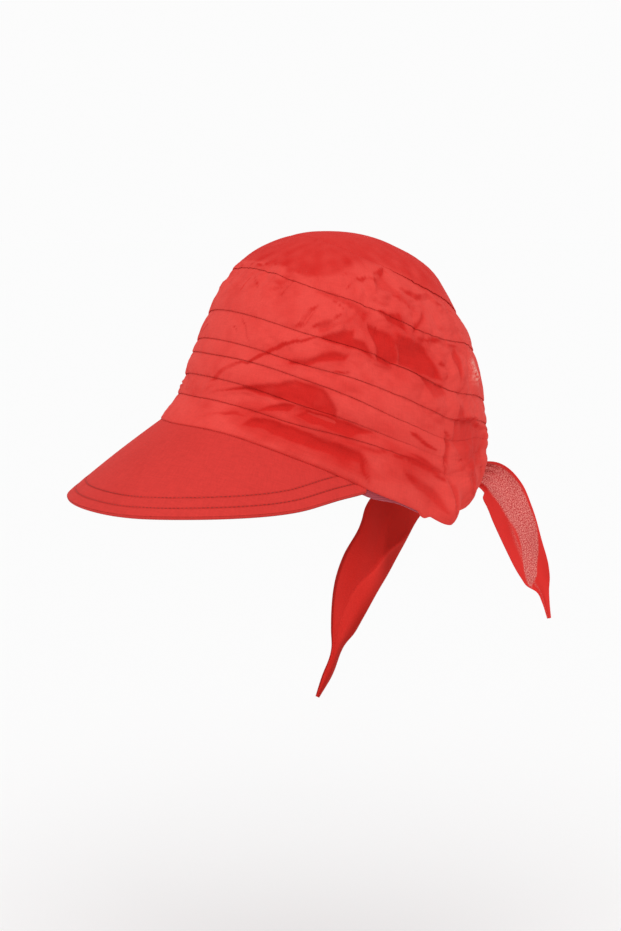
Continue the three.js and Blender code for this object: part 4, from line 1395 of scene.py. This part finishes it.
def voile(name, hem_and_shade_colour, sheer_colour, speck_colour):
    """Thin voile cotton, loosely woven: solid red where its edges are turned in double, and a pale speckled
    red through its single layer, where light comes between the threads. The turned-in colour also serves as
    painted shade on the far tie, and a painted highlight lightens the cloth along a crest."""
    material = bpy.data.materials.new(name)
    material.use_nodes = True
    tree = material.node_tree
    shader = tree.nodes["Principled BSDF"]
    place = add_node(tree, "ShaderNodeTexCoord")
    stretch = add_node(
        tree, "ShaderNodeMapping",
        inputs={"Scale": (1 / (0.6 * MM), 1 / (0.9 * MM), 1.0)},
        links={"Vector": (place, "UV")},
    )
    specks = add_node(
        tree, "ShaderNodeTexNoise",
        inputs={"Scale": 1.0, "Detail": 3.0, "Roughness": 0.7},
        links={"Vector": (stretch, "Vector")},
    )
    speck_share = add_node(
        tree, "ShaderNodeMapRange",
        inputs={"From Min": 0.42, "From Max": 0.62},
        links={"Value": (specks, "Fac")},
    )
    single = add_node(tree, "ShaderNodeMix", {"data_type": "RGBA"}, links={"Factor": (speck_share, "Result")})
    single.inputs[6].default_value = linear(sheer_colour)
    single.inputs[7].default_value = linear(speck_colour)
    hem_shade_and_highlight = add_node(tree, "ShaderNodeAttribute", {"attribute_name": "fold"})
    base_colour_mix = add_node(
        tree, "ShaderNodeMix", {"data_type": "RGBA"},
        links={"Factor": (hem_shade_and_highlight, "Fac"), 6: (single, 2)},
    )
    base_colour_mix.inputs[7].default_value = linear(hem_and_shade_colour)
    relief = add_node(
        tree, "ShaderNodeBump",
        inputs={"Strength": 0.3, "Distance": 0.2 * MM},
        links={"Height": (specks, "Fac")},
    )
    tree.links.new(base_colour_mix.outputs[2], shader.inputs["Base Color"])
    tree.links.new(relief.outputs["Normal"], shader.inputs["Normal"])
    shader.inputs["Roughness"].default_value = 0.9
    shader.inputs["IOR"].default_value = 1.45
    shader.inputs["Specular IOR Level"].default_value = 0.25
    shader.inputs["Sheen Weight"].default_value = 0.15
    shader.inputs["Sheen Tint"].default_value = linear("#ffb0a6")
    return material


tie_materials = {
    "near_tie": voile("near_tie_cotton_voile", "#dc2f2a", "#c02a2e", "#f29a90"),
    # The far tie's first colour is both its hem and its painted shade.
    "far_tie": voile("far_tie_cotton_voile", "#b51d14", "#e42c24", "#f0382f"),
}
for tie in (NEAR_TIE, FAR_TIE):
    strip = tie_mesh(tie)
    strip.data.materials.append(tie_materials[tie.name])
    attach(strip, "root")
    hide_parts(tie.name)


# Studio.
# A plain pale floor a little way below the cap, which hangs free in its worn form, one broad soft light
# from the front left and above, and even white light from all round.
FLOOR_DROP = 330
FLOOR_RADIUS = 9000
KEY_STRENGTH = 1.35
KEY_AZIMUTH = 58
KEY_ELEVATION = 58
FILL_STRENGTH = 0.68
FLOOR_WHITE = "#f7f7f7"

floor_mesh = bpy.data.meshes.new("floor")
floor_form = bmesh.new()
bmesh.ops.create_circle(floor_form, cap_ends=True, segments=96, radius=FLOOR_RADIUS * MM)
floor_form.to_mesh(floor_mesh)
floor_form.free()
floor = bpy.data.objects.new("floor", floor_mesh)
floor.location.z = -FLOOR_DROP * MM
bpy.context.scene.collection.objects.link(floor)
floor_paint = bpy.data.materials.new("matt_white_paint")
floor_paint.use_nodes = True
paint = floor_paint.node_tree.nodes["Principled BSDF"]
paint.inputs["Base Color"].default_value = linear(FLOOR_WHITE)
paint.inputs["Roughness"].default_value = 1.0
paint.inputs["Specular IOR Level"].default_value = 0.0
floor_mesh.materials.append(floor_paint)

key_data = bpy.data.lights.new("key", "SUN")
key_data.energy = KEY_STRENGTH
key_data.angle = math.radians(60)
key = bpy.data.objects.new("key", key_data)
turn, lift = math.radians(KEY_AZIMUTH), math.radians(KEY_ELEVATION)
from_key = Vector((math.sin(turn) * math.cos(lift), -math.cos(turn) * math.cos(lift), math.sin(lift)))
key.rotation_euler = from_key.to_track_quat("Z", "Y").to_euler()
bpy.context.scene.collection.objects.link(key)

# The wall is as bright as the lit floor, so that no line shows between them.
wall_brightness = linear(FLOOR_WHITE)[0] * (FILL_STRENGTH + KEY_STRENGTH * math.sin(lift) / math.pi)
world = bpy.data.worlds.new("studio")
world.use_nodes = True
bpy.context.scene.world = world
sky = world.node_tree
sky.nodes.clear()
seen = add_node(sky, "ShaderNodeLightPath")
fill = add_node(sky, "ShaderNodeBackground", inputs={"Color": (1, 1, 1, 1), "Strength": FILL_STRENGTH})
wall = add_node(sky, "ShaderNodeBackground", inputs={"Color": (1, 1, 1, 1), "Strength": wall_brightness})
both = add_node(
    sky, "ShaderNodeMixShader",
    links={0: (seen, "Is Camera Ray"), 1: (fill, "Background"), 2: (wall, "Background")},
)
add_node(sky, "ShaderNodeOutputWorld", links={"Surface": (both, "Shader")})
bpy.context.scene.view_settings.view_transform = "Standard"
